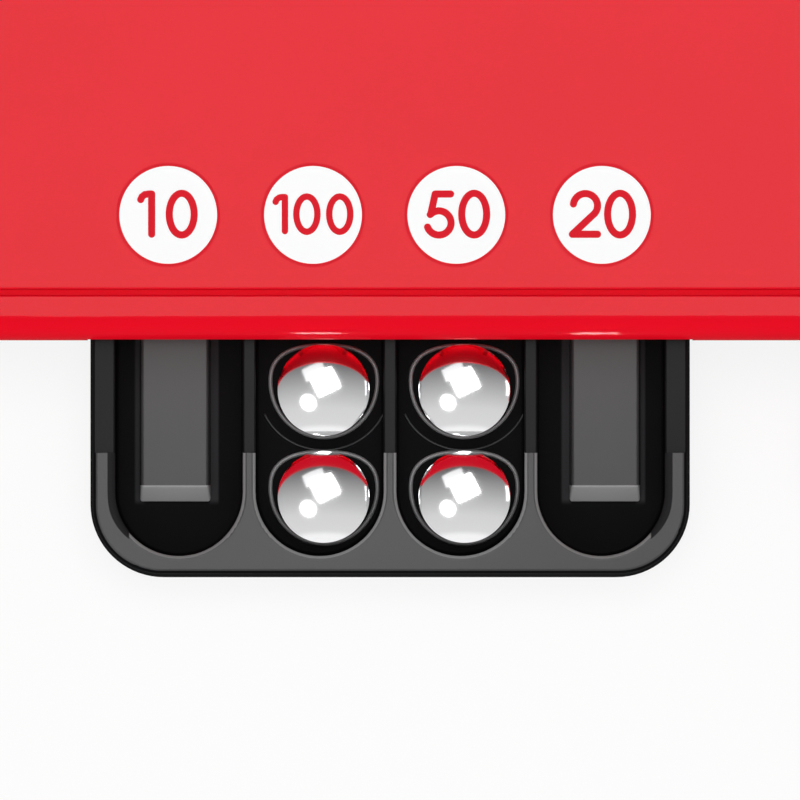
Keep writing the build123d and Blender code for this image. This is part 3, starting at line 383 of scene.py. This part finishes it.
shell_black = dyed(
    "shell_black", (0.012, 0.012, 0.013), (0.018, 0.018, 0.019), 0.42, grain=2600.0, bump=0.22, specular=0.25
)
dress(shell_black, "base_shell")

# Rubber feet and zinc-plated screws: the feet are pressed into shallow recesses under the shell,
# and the screws go up through bosses into the rails, the apron and the tray's tongue.
foot_rubber = dyed(
    "foot_rubber", (0.015, 0.015, 0.015), (0.028, 0.027, 0.026), 0.8, grain=1500.0, bump=0.3, specular=0.25
)
dress(foot_rubber, "rubber_feet")


def bright_metal(name, one, other, roughness):
    """Plated or drawn metal: nearly even in colour, with a fine drawn grain."""
    made = dyed(name, one, other, roughness, spread=0.12, grain=1800.0, bump=0.02)
    made.shader.inputs["Metallic"].default_value = 1.0
    return made


screw_zinc = bright_metal("screw_zinc", (0.62, 0.63, 0.62), (0.54, 0.55, 0.56), 0.28)
dress(screw_zinc, "case_screws", "apron_screws", "tray_screws")

# Playfield: a hardboard panel, printed and varnished. It is plain red under the apron, and up the
# field it has rays, rings round the bumpers, a row of spots and a scale along the shooter lane.


def place_tree():
    """Where a point lies across, along and above the deck, in millimetres."""
    group = bpy.data.node_groups.new("deck_place", "ShaderNodeTree")
    group.interface.new_socket("Place", in_out="INPUT", socket_type="NodeSocketVector")
    start = group.nodes.new("NodeGroupInput")
    end = group.nodes.new("NodeGroupOutput")
    away = group.nodes.new("ShaderNodeVectorMath")
    away.operation = "SUBTRACT"
    away.inputs[1].default_value = deck_origin
    group.links.new(start.outputs["Place"], away.inputs[0])
    for label, axis in (("Across", deck_across), ("Along", deck_along), ("Height", deck_normal)):
        group.interface.new_socket(label, in_out="OUTPUT", socket_type="NodeSocketFloat")
        dot = group.nodes.new("ShaderNodeVectorMath")
        dot.operation = "DOT_PRODUCT"
        dot.inputs[1].default_value = axis / millimetre
        group.links.new(away.outputs["Vector"], dot.inputs[0])
        group.links.new(dot.outputs["Value"], end.inputs[label])
    return group


deck_place = place_tree()


def ramp(made, value, low, high, start=0.0, end=1.0):
    """A smooth rise from start to end as a value goes from low to high."""
    node = made.add("ShaderNodeMapRange")
    node.interpolation_type = "SMOOTHSTEP"
    node.inputs["From Min"].default_value = low
    node.inputs["From Max"].default_value = high
    node.inputs["To Min"].default_value = start
    node.inputs["To Max"].default_value = end
    made.link(value, node.inputs["Value"])
    return node.outputs["Result"]


def maths(made, operation, one, other=0.0):
    """One sum of two sockets, or of a socket and a number."""
    node = made.add("ShaderNodeMath")
    node.operation = operation
    for slot, value in zip(node.inputs, (one, other)):
        if isinstance(value, (int, float)):
            slot.default_value = value
        else:
            made.link(value, slot)
    return node.outputs["Value"]


def all_of(made, *masks):
    """A mask that holds only where each of some masks does."""
    whole = masks[0]
    for mask in masks[1:]:
        whole = maths(made, "MULTIPLY", whole, mask)
    return whole


def band(made, value, low, high, soft=0.15):
    """A mask that is one between two values, with soft edges."""
    rise = ramp(made, value, low - soft, low + soft)
    fall = ramp(made, value, high + soft, high - soft)
    return all_of(made, rise, fall)


def slant(made, one, other):
    """How far off a place is that lies so far one way and so far the other."""
    squares = [maths(made, "MULTIPLY", side, side) for side in (one, other)]
    return maths(made, "SQRT", maths(made, "ADD", *squares))


def nearest(made, across, along, centres):
    """The distance to the nearest of some places."""
    least = None
    for centre_across, centre_along in centres:
        side = maths(made, "SUBTRACT", across, centre_across)
        length = maths(made, "SUBTRACT", along, centre_along)
        here = slant(made, side, length)
        least = here if least is None else maths(made, "MINIMUM", least, here)
    return least


def print_over(made, under, mask, colour):
    """One colour printed over another where a mask says."""
    node = made.add("ShaderNodeMix")
    node.data_type = "RGBA"
    made.link(mask, node.inputs["Factor"])
    made.link(under, node.inputs["A"])
    if isinstance(colour, tuple):
        node.inputs["B"].default_value = (*colour, 1.0)
    else:
        made.link(colour, node.inputs["B"])
    return node.outputs["Result"]


bumper_places = [(-20.0, 177.9), (20.0, 177.9), (0.0, 148.0)]
spot_places = [(0.0, 96.0), (0.0, 105.0), (0.0, 114.0)]
spot_places += [(-8.5, 234.0), (8.5, 234.0), (-25.0, 230.0), (25.0, 230.0)]
field_middle = (0.0, 164.0)
ray_count = 14.0
ray_soft = 0.06
ray_start = 76.0
ray_full = 92.0
disc_radius = 34.0
bumper_white_ring = (11.2, 12.4)
bumper_yellow_ring = (13.0, 13.5)
spot_radius = 3.0
spot_eye = 2.2
print_edge = 0.1
tick_pitch = 10.0
tick_width = (4.6, 5.4)
tick_reach = (60.0, 68.0)
print_dark_red = (0.3, 0.004, 0.012)
print_black = (0.02, 0.02, 0.025)
print_white = (0.85, 0.84, 0.8)
print_yellow = (0.8, 0.42, 0.02)
board_brown = (0.2, 0.11, 0.055)
board_print = Finish("board_print")
board_where = board_print.group(deck_place)
board_across = board_where.outputs["Across"]
board_along = board_where.outputs["Along"]
art = board_print.shade((0.72, 0.012, 0.02), (0.66, 0.01, 0.018), 90.0)
ray_length = maths(board_print, "SUBTRACT", board_along, field_middle[1])
ray_angle = maths(board_print, "ARCTAN2", board_across, ray_length)
ray_wave = maths(board_print, "SINE", maths(board_print, "MULTIPLY", ray_angle, ray_count))
rays = all_of(
    board_print,
    ramp(board_print, ray_wave, -ray_soft, ray_soft),
    ramp(board_print, board_along, ray_start, ray_full),
)
art = print_over(board_print, art, rays, print_dark_red)
from_middle = nearest(board_print, board_across, board_along, [field_middle])
disc = ramp(board_print, from_middle, disc_radius + 0.3, disc_radius)
art = print_over(board_print, art, disc, print_black)
disc_ring = band(board_print, from_middle, disc_radius - 1.0, disc_radius + 0.2)
art = print_over(board_print, art, disc_ring, print_white)
from_bumper = nearest(board_print, board_across, board_along, bumper_places)
art = print_over(board_print, art, band(board_print, from_bumper, *bumper_white_ring), print_white)
art = print_over(board_print, art, band(board_print, from_bumper, *bumper_yellow_ring), print_yellow)
from_spot = nearest(board_print, board_across, board_along, spot_places)
for radius, colour in ((spot_radius, print_white), (spot_eye, print_yellow)):
    spots = ramp(board_print, from_spot, radius + print_edge, radius - print_edge)
    art = print_over(board_print, art, spots, colour)
tick_place = maths(board_print, "MODULO", board_along, tick_pitch)
ticks = all_of(
    board_print,
    band(board_print, tick_place, *tick_width, soft=0.08),
    band(board_print, board_across, *tick_reach),
)
art = print_over(board_print, art, ticks, print_white)
board_top = extent("playfield", deck_normal)[1]
board_under = ramp(board_print, board_where.outputs["Height"], board_top - 0.05, board_top - 0.2)
art = print_over(board_print, art, board_under, board_brown)
board_print.link(art, board_print.shader.inputs["Base Color"])
board_print.surface(grain=900.0, roughness=0.25, spread=0.08, bump=0.02)
dress(board_print, "playfield")

# Rails and corner blocks: red mouldings round the playfield, gloss, with one rounded outer edge. The
# front one ends in the rolled lip over the tray; there the polish is duller on the curve than on the flat.
red_one = (0.76, 0.0042, 0.0165)
red_other = (0.72, 0.0032, 0.0135)
red_polish = 0.19


def red_gloss(name):
    """Gloss red plastic under a clear polish."""
    made = dyed(name, red_one, red_other, 0.5, grain=5000.0, bump=0.015, specular=0.0, mottle=40.0)
    made.shader.inputs["Coat Roughness"].default_value = 0.12
    made.shader.inputs["Coat Weight"].default_value = red_polish
    return made


rail_red = red_gloss("rail_red")
dress(rail_red, "left_rail", "right_rail", "back_rail", "left_corner", "right_corner")
lip_curve = 3.2
curve_polish = 0.04
edge_polish = 0.03
groove_polish = 0.1
lip_red = red_gloss("lip_red")
lip_where = lip_red.group(deck_place)
lip_along = lip_where.outputs["Along"]
lip_top = extent("front_rail", deck_normal)[1]
lip_polish = ramp(lip_red, lip_along, lip_curve - 0.5, lip_curve + 0.1, curve_polish, red_polish)
lip_edge = ramp(lip_red, lip_along, 1.5, 0.9, 0.0, edge_polish)
lip_high = ramp(lip_red, lip_where.outputs["Height"], lip_top - 0.5, lip_top - 0.3, groove_polish, 1.0)
lip_nose = ramp(lip_red, lip_along, lip_curve + 0.2, lip_curve)
out_of_groove = maths(lip_red, "MAXIMUM", lip_high, lip_nose)
lip_coat = all_of(lip_red, maths(lip_red, "ADD", lip_polish, lip_edge), out_of_groove)
lip_red.link(lip_coat, lip_red.shader.inputs["Coat Weight"])
lip_red.shader.inputs["Coat Roughness"].default_value = 0.07
dress(lip_red, "front_rail")

# Apron: a flat red plate behind the lip, with four white score marks printed over the four lanes,
# each ringed with a thin deeper red line.
apron_red = red_gloss("apron_red")
dress(apron_red, "apron")
apron_top = extent("apron", deck_normal)[1]
mark_along = 17.1
mark_radius = 6.7
mark_line = 0.42
mark_steps = 96
ink = 0.03
pen = 0.98
pen_least = 0.85
stroke_step = 0.2
number_rise = 0.1
ink_white = dyed(
    "ink_white", (0.93, 0.93, 0.93), (0.91, 0.91, 0.91), 0.5, grain=3000.0, bump=0.01, specular=0.2
)
ink_red = dyed(
    "ink_red", (0.68, 0.004, 0.016), (0.64, 0.003, 0.014), 0.5, grain=3000.0, bump=0.01, specular=0.1
)


def arc_points(centre, across, along, start, end, count=28):
    """Points along part of an ellipse, from one angle to another, in degrees."""
    angles = [radians(start + (end - start) * step / count) for step in range(count + 1)]
    return [(centre[0] + across * cos(angle), centre[1] + along * sin(angle)) for angle in angles]


digit_strokes = {
    "0": [arc_points((0.0, 0.0), 1.71, 2.86, 90, 450, 48)],
    "1": [
        [(0.0, 2.75), (0.0, -2.75)],
        [(-1.5, 2.0), (-1.32, 2.4), (-0.95, 2.68), (-0.45, 2.76), (0.0, 2.76)],
    ],
    "2": [
        arc_points((0.1, 1.16), 1.66, 1.66, 172, -38),
        [(1.41, 0.14), (-1.69, -2.76)],
        [(-1.69, -2.76), (1.76, -2.76)],
    ],
    "5": [
        [(1.62, 2.76), (-0.5, 2.76)],
        [(-0.5, 2.76), (-1.1, 0.0)],
        arc_points((0.02, -1.21), 1.66, 1.66, 136, -160),
    ],
}


def pen_stroke(mesh, points, width, place, material):
    """One flat stroke of even width along some points, with round ends."""
    half = width / 2
    spots = [Vector((x, y)) for x, y in points]
    closed = (spots[0] - spots[-1]).length < 1e-6
    if closed:
        spots = spots[:-1]
    count = len(spots)
    sides = []
    for step, spot in enumerate(spots):
        before = spots[(step - 1) % count] if closed or step > 0 else spot
        after = spots[(step + 1) % count] if closed or step < count - 1 else spot
        heading = (after - before).normalized()
        side = Vector((-heading.y, heading.x)) * half
        sides.append((mesh.verts.new(place(spot + side)), mesh.verts.new(place(spot - side))))
    pairs = list(zip(sides, sides[1:] + sides[:1])) if closed else list(zip(sides, sides[1:]))
    for (one_left, one_right), (two_left, two_right) in pairs:
        mesh.faces.new((one_left, one_right, two_right, two_left)).material_index = material
    if not closed:
        for spot, inner in ((spots[0], spots[1]), (spots[-1], spots[-2])):
            out = (spot - inner).normalized()
            side = Vector((-out.y, out.x))
            rim = [
                spot + (side * cos(radians(turn)) + out * sin(radians(turn))) * half
                for turn in range(0, 181, 15)
            ]
            mesh.faces.new([mesh.verts.new(place(point)) for point in rim]).material_index = material


def new_piece(name, mesh, slot, *finishes):
    """Turn a bmesh into a piece that rides on the cabinet."""
    data = bpy.data.meshes.new(name)
    mesh.to_mesh(data)
    mesh.free()
    for made in finishes:
        data.materials.append(made.material)
    piece = bpy.data.objects.new(name, data)
    bpy.context.scene.collection.objects.link(piece)
    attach(piece, "cabinet")
    return piece


def score_mark(name, centre, digits, size):
    """One printed mark: a white disc, its ring and its number."""
    mesh = bmesh.new()
    rings = []
    turns = [2 * pi * step / mark_steps for step in range(mark_steps)]
    for radius in (mark_radius / 2, mark_radius, mark_radius + mark_line):
        spots = [(centre + radius * cos(turn), mark_along + radius * sin(turn)) for turn in turns]
        rings.append([mesh.verts.new(on_deck(*spot, apron_top + ink)) for spot in spots])
    mesh.faces.new(rings[0])
    for ring, (inner, outer) in enumerate(zip(rings, rings[1:])):
        for step in range(mark_steps):
            face = mesh.faces.new((inner[step], outer[step], outer[step - 1], inner[step - 1]))
            face.material_index = ring
    pen_width = pen * (pen_least + (1 - pen_least) * size) * size ** 0.5
    for digit, shift in digits:
        for layer, stroke in enumerate(digit_strokes[digit]):
            height = apron_top + ink * (2.0 + stroke_step * layer)
            pen_stroke(
                mesh,
                [(x * size, y * size) for x, y in stroke],
                pen_width,
                lambda spot: on_deck(centre + shift + spot.x, mark_along + number_rise + spot.y, height),
                material=1,
            )
    bmesh.ops.recalc_face_normals(mesh, faces=mesh.faces)
    for face in mesh.faces:
        if face.normal.dot(deck_normal) < 0:
            face.normal_flip()
    new_piece(name, mesh, "white_plastic", ink_white, ink_red)


score_mark("score_mark_10", -30.4, (("1", -2.27), ("0", 1.85)), 1.0)
score_mark("score_mark_100", -10.55, (("1", -3.85), ("0", -0.84), ("0", 3.67)), 0.845)
score_mark("score_mark_50", 9.1, (("5", -2.4), ("0", 2.45)), 1.0)
score_mark("score_mark_20", 29.05, (("2", -2.35), ("0", 2.5)), 1.0)

# Score tray: black plastic, moulded in one and screwed under the board by its tongue. The tops of its rim
# and of the two bars are satin, the ribs next to the lip are darker, and the lanes are polished near black: a
# colour darker than the tops', which paints the shade in the deep lanes.
tray_corner = 10.0
tray_half = extent("score_tray", deck_across)[1]
tray_front = extent("score_tray", deck_along)[0]
rim_top = extent("score_tray", deck_normal)[1]
rib_top = rim_top - 1.0
rim_front_flat = 3.9
rim_side_flat = 2.7
side_inside = 36.0
bar_top = -0.8
bar_middle = 29.7
bar_half = 5.0
bar_front = -23.2
bar_satin = 0.93
nose_front = -22.6
nose_back = -20.15
inner_edge = 19.5
rib_satin = 0.42
lane_polish = 0.012
satin_polish = 0.34
# Painted sheen: the strip along the foot of each bar is a lighter black, standing in for light on the bar's
# flank.
flank_sheen_black = (0.03, 0.03, 0.032)
slope_black = (0.018, 0.018, 0.019)
# Painted highlight: a grey line along the rim's inner top edges, standing in for the light they catch.
edge_highlight_grey = (0.2, 0.2, 0.2)
# Painted sheen: each bar's sloping nose is light grey, standing in for the light it catches from the front.
nose_sheen_grey = (0.37, 0.37, 0.37)
tray_black = Finish("tray_black")
tray_where = tray_black.group(deck_place)
tray_height = tray_where.outputs["Height"]
tray_along = tray_where.outputs["Along"]
tray_side = maths(tray_black, "ABSOLUTE", tray_where.outputs["Across"])
past_side = maths(tray_black, "SUBTRACT", tray_side, tray_half - tray_corner)
past_front = maths(tray_black, "SUBTRACT", tray_front + tray_corner, tray_along)
from_corner = slant(
    tray_black,
    maths(tray_black, "MAXIMUM", past_side, 0.0),
    maths(tray_black, "MAXIMUM", past_front, 0.0),
)
from_edge = maths(tray_black, "SUBTRACT", tray_corner, from_corner)
rim_flat = ramp(tray_black, tray_along, -29.5, -21.0, rim_front_flat, rim_side_flat)
side_slope = all_of(
    tray_black,
    ramp(tray_black, maths(tray_black, "SUBTRACT", from_edge, rim_flat), -0.08, 0.08),
    ramp(tray_black, tray_side, side_inside, side_inside + 0.2),
    ramp(tray_black, tray_height, rib_top + 0.15, rib_top + 0.25),
)
not_slope = maths(tray_black, "SUBTRACT", 1.0, side_slope)
rim_mask = all_of(
    tray_black, ramp(tray_black, tray_height, rim_top - 0.07, rim_top - 0.02), not_slope
)
# Painted highlight along the rim's inner top edges: a narrow band just under the top, away from the outer
# edge.
rim_edge_highlight = all_of(
    tray_black,
    band(tray_black, tray_height, rim_top - 0.34, rim_top - 0.035, soft=0.02),
    not_slope,
    ramp(tray_black, from_edge, 1.2, 1.4),
)
bar_side = maths(tray_black, "ABSOLUTE", maths(tray_black, "SUBTRACT", tray_side, bar_middle))
bar_mask = all_of(
    tray_black,
    ramp(tray_black, tray_height, bar_top - 2.5, bar_top - 2.3),
    ramp(tray_black, tray_height, bar_top + 0.4, bar_top + 0.1),
    ramp(tray_black, bar_side, bar_half + 0.2, bar_half),
    ramp(tray_black, tray_along, bar_front - 0.4, bar_front),
)
# Painted sheen on the front slope of each bar's nose.
nose_sheen_mask = all_of(
    tray_black, bar_mask, band(tray_black, tray_along, nose_front, nose_back, soft=0.08)
)
# Painted sheen in a strip along the foot of each bar's sides.
flank_sheen_mask = all_of(
    tray_black,
    band(tray_black, bar_side, bar_half - 0.5, bar_half + 0.8, soft=0.2),
    ramp(tray_black, tray_side, inner_edge, inner_edge + 0.1),
    ramp(tray_black, tray_along, bar_front + 0.2, bar_front + 1.2),
)
bar_shine = maths(tray_black, "MULTIPLY", bar_mask, bar_satin)
satin_mask = maths(tray_black, "MAXIMUM", rim_mask, bar_shine)
rib_mask = band(tray_black, tray_height, rib_top - 0.15, rib_top + 0.2, soft=0.1)
satin_shade = tray_black.shade((0.056, 0.056, 0.057), (0.05, 0.05, 0.051), 120.0)
# Painted shade: everything below the satin tops gets a near-black colour, darker than the tops' plastic,
# which stands in for the shade in the deep lanes.
tray_colour = tray_black.shade((0.004, 0.004, 0.0045), (0.006, 0.006, 0.0065), 90.0)
for mask, colour in (
    (flank_sheen_mask, flank_sheen_black),
    (side_slope, slope_black),
    (satin_mask, satin_shade),
    (rim_edge_highlight, edge_highlight_grey),
    (nose_sheen_mask, nose_sheen_grey),
):
    tray_colour = print_over(tray_black, tray_colour, mask, colour)
tray_black.link(tray_colour, tray_black.shader.inputs["Base Color"])
rib_shine = maths(tray_black, "MULTIPLY", rib_mask, rib_satin)
tray_shine = maths(tray_black, "MAXIMUM", satin_mask, rib_shine)
tray_coat = ramp(tray_black, tray_shine, 0.0, 1.0, lane_polish, satin_polish)
tray_black.link(tray_coat, tray_black.shader.inputs["Coat Weight"])
tray_black.shader.inputs["Coat Roughness"].default_value = 0.2
tray_black.shader.inputs["Specular IOR Level"].default_value = 0.0
tray_black.surface(grain=4200.0, roughness=0.45, spread=0.1, bump=0.02)
dress(tray_black, "score_tray")

# Seat beads: thin round beads moulded into the lanes, an egg-shaped one round each ball's seat and an arc in
# front of each rear one. The ovals are light grey as a painted highlight, and the arcs are black.
balls = ("ball_left_front", "ball_left_rear", "ball_right_front", "ball_right_rear")
# Painted highlight: the oval beads are light grey, standing in for the light that the rings catch.
seat_painted_highlight = dyed("seat_painted_highlight", (0.2, 0.2, 0.203), (0.18, 0.18, 0.183), 0.3, spread=0.05)
arc_gloss = dyed(
    "arc_gloss", (0.015, 0.015, 0.016), (0.012, 0.012, 0.013), 0.3, spread=0.05, specular=0.35
)
seat_height = extent("seat_rings", deck_normal)[0]
oval_bead = 0.3
oval_across = 7.43
oval_up = 5.0
oval_down = 7.75
oval_shift = 1.2
oval_shoulder = 0.8
oval_steps = 48
arc_bead = 0.16
arc_across = 9.0
arc_down = 8.35
arc_half = 67
arc_steps = 64
wire_sides = 10


def tube(mesh, points, radius, axis, closed=False, finish=0):
    """A round wire along some points that wind about an axis, with its ends closed."""
    count = len(points)
    rings = []
    for step, point in enumerate(points):
        before = points[(step - 1) % count] if closed or step > 0 else point
        after = points[(step + 1) % count] if closed or step < count - 1 else point
        heading = (after - before).normalized()
        side = axis.cross(heading).normalized()
        top = heading.cross(side)
        rings.append([
            mesh.verts.new(point + (side * cos(turn) + top * sin(turn)) * radius)
            for turn in (2 * pi * corner / wire_sides for corner in range(wire_sides))
        ])
    for one, two in zip(rings, rings[1:] + rings[:1] if closed else rings[1:]):
        for turn in range(wire_sides):
            face = mesh.faces.new((one[turn - 1], one[turn], two[turn], two[turn - 1]))
            face.smooth = True
            face.material_index = finish
    if not closed:
        for end in (rings[0], rings[-1][::-1]):
            mesh.faces.new(end).material_index = finish
    bmesh.ops.recalc_face_normals(mesh, faces=mesh.faces)


bead_mesh = bmesh.new()
for ball in balls:
    seat = [sum(extent(ball, axis)) / 2 for axis in (deck_across, deck_along)]
    middle = (seat[0], seat[1] + oval_shift)
    outline = []
    for step in range(oval_steps):
        turn = pi * step / oval_steps
        reach = copysign(abs(cos(turn)) ** oval_shoulder, cos(turn))
        outline.append((middle[0] + oval_across * reach, middle[1] + oval_up * sin(turn) ** oval_shoulder))
    outline += arc_points(middle, oval_across, oval_down, 180, 360, oval_steps)[:-1]
    ring = [on_deck(*spot, seat_height) for spot in outline]
    tube(bead_mesh, ring, oval_bead * millimetre, deck_normal, closed=True)
    if ball.endswith("rear"):
        outline = arc_points(seat, arc_across, arc_down, -90 - arc_half, -90 + arc_half, arc_steps)
        arc = [on_deck(*spot, seat_height) for spot in outline]
        tube(bead_mesh, arc, arc_bead * millimetre, deck_normal, finish=1)
seat_beads = new_piece("seat_beads", bead_mesh, "black_plastic", seat_painted_highlight, arc_gloss)
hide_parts("seat_rings")

# Balls: hardened steel, ground and polished, loose in their seats. Their upper halves are shaded a little
# flatter than they are, so that their edges mirror the level of the table.
ball_lean = 0.95
ball_lean_from = -0.6
ball_steel = dyed(
    "ball_steel", (0.93, 0.93, 0.935), (0.91, 0.91, 0.92), 0.11, spread=0.02, bump=0.0
)
ball_steel.shader.inputs["Metallic"].default_value = 1.0
ball_normal = ball_steel.add("ShaderNodeNewGeometry").outputs["Normal"]
ball_facing = ball_steel.add("ShaderNodeVectorMath")
ball_facing.operation = "DOT_PRODUCT"
ball_facing.inputs[1].default_value = deck_normal
ball_steel.link(ball_normal, ball_facing.inputs[0])
ball_up = ball_steel.add("ShaderNodeVectorMath")
ball_up.operation = "SCALE"
ball_up.inputs[0].default_value = deck_normal
ball_share = ramp(ball_steel, ball_facing.outputs["Value"], ball_lean_from, 0.0, 0.0, ball_lean)
ball_steel.link(ball_share, ball_up.inputs["Scale"])
ball_sum = ball_steel.add("ShaderNodeVectorMath")
ball_steel.link(ball_normal, ball_sum.inputs[0])
ball_steel.link(ball_up.outputs["Vector"], ball_sum.inputs[1])
ball_bend = ball_steel.add("ShaderNodeVectorMath")
ball_bend.operation = "NORMALIZE"
ball_steel.link(ball_sum.outputs["Vector"], ball_bend.inputs[0])
ball_steel.link(ball_bend.outputs["Vector"], ball_steel.shader.inputs["Normal"])
dress(ball_steel, *balls)

# Guides on the board: red fins under the apron, the white wall of the shooter lane, white rollover
# guides, and a bent strip of bright steel round the top.
fin_red = red_gloss("fin_red")
dress(fin_red, "lane_dividers", "left_drain_guide", "right_drain_guide")
guide_white = dyed("guide_white", (0.82, 0.81, 0.78), (0.78, 0.77, 0.74), 0.3)
dress(guide_white, "shooter_divider", "lane_guides")
strip_steel = bright_metal("strip_steel", (0.66, 0.66, 0.67), (0.6, 0.6, 0.61), 0.22)
dress(strip_steel, "arch_strip", "playfield_pins")

# Bumpers: white stems with a foot, white rubber rings, and red domed caps printed with a white ring
# and a yellow eye.
dress(guide_white, "bumper_stems")
band_rubber = dyed(
    "band_rubber", (0.78, 0.76, 0.7), (0.72, 0.7, 0.64), 0.65, grain=1500.0, bump=0.15, specular=0.3
)
dress(band_rubber, "bumper_rings")
cap_ring = (6.2, 7.6)
cap_eye = 3.0
cap_red = red_gloss("cap_red")
cap_where = cap_red.group(deck_place)
from_eye = nearest(cap_red, cap_where.outputs["Across"], cap_where.outputs["Along"], bumper_places)
cap_art = cap_red.shade(red_one, red_other, 40.0)
cap_white = band(cap_red, from_eye, *cap_ring, soft=print_edge)
cap_art = print_over(cap_red, cap_art, cap_white, print_white)
cap_yellow = ramp(cap_red, from_eye, cap_eye + print_edge, cap_eye - print_edge)
cap_art = print_over(cap_red, cap_art, cap_yellow, print_yellow)
cap_red.link(cap_art, cap_red.shader.inputs["Base Color"])
dress(cap_red, "bumper_caps")

# Slings: white moulded posts in threes, pressed into the board, each three with a band of pale rubber
# stretched round it.
dress(guide_white, "sling_posts")
dress(band_rubber, "left_sling_band", "right_sling_band")

# Flippers: white moulded bats with black rubbers in their grooves, pressed on to steel shafts that turn in
# white bushes in the board.
dress(guide_white, "left_flipper_bat", "right_flipper_bat", "flipper_bushes")
dress(foot_rubber, "left_flipper_rubber", "right_flipper_rubber")
dress(strip_steel, "left_flipper_shaft", "right_flipper_shaft")

# Buttons and linkage: red buttons in the shell's sides push flat black rods, and springs of steel
# wire on the rods bring them back.
button_red = red_gloss("button_red")
dress(button_red, "left_button", "right_button")
link_black = dyed("link_black", (0.02, 0.02, 0.021), (0.028, 0.028, 0.029), 0.4)
dress(link_black, "left_crank", "right_crank", "left_push_rod", "right_push_rod")
spring_steel = bright_metal("spring_steel", (0.6, 0.6, 0.61), (0.52, 0.52, 0.54), 0.25)
steps_per_turn = 28


def spring_coil(node, joint, axis, travel, turns, wire, fixed_far):
    """The wire coil that stands for a CAD spring, at rest: its joint and fixed end are not used."""
    dress(spring_steel, node)
    along = axis.normalized()
    side = deck_normal if abs(along.dot(deck_normal)) < 0.5 else deck_along
    other = along.cross(side)
    start, end = extent(node, along)
    middle = deck_origin + sum(
        (direction * sum(extent(node, direction)) / 2 * millimetre for direction in (side, other)), Vector()
    )
    radius = (extent(node, side)[1] - extent(node, side)[0]) / 2 - wire
    count = steps_per_turn * turns
    mesh = bmesh.new()
    points = []
    for step in range(count + 1):
        turn = 2 * pi * step / steps_per_turn
        height = start + wire + (end - start - 2 * wire) * step / count
        offset = side * cos(turn) * radius + other * sin(turn) * radius + along * height
        points.append(middle + offset * millimetre)
    tube(mesh, points, wire * millimetre, along)
    coil = new_piece(f"{node}_coil", mesh, "bright_steel", spring_steel)
    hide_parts(node)
    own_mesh(coil)


button_spring = {"axis": deck_across, "travel": 5.0, "turns": 6, "wire": 0.3}
spring_coil("left_button_spring", "left_button_press", fixed_far=True, **button_spring)
spring_coil("right_button_spring", "right_button_press", fixed_far=False, **button_spring)

# Plunger: a steel rod in a black bush with a nut, a red knob in front, a collar, a spring and a
# rubber tip behind.
dress(strip_steel, "plunger_rod", "plunger_collar")
dress(button_red, "plunger_knob")
dress(link_black, "plunger_bush", "plunger_nut")
dress(foot_rubber, "plunger_tip")
spring_coil(
    "plunger_spring", "plunger_pull", axis=deck_along, travel=20.0, turns=9, wire=0.45, fixed_far=False
)

# Gate: a steel bar with two ears, fixed over the shooter lane, and a flap of sheet steel that swings one way
# on a pin between the ears.
dress(strip_steel, "gate_bracket", "gate_pin", "gate_flap")
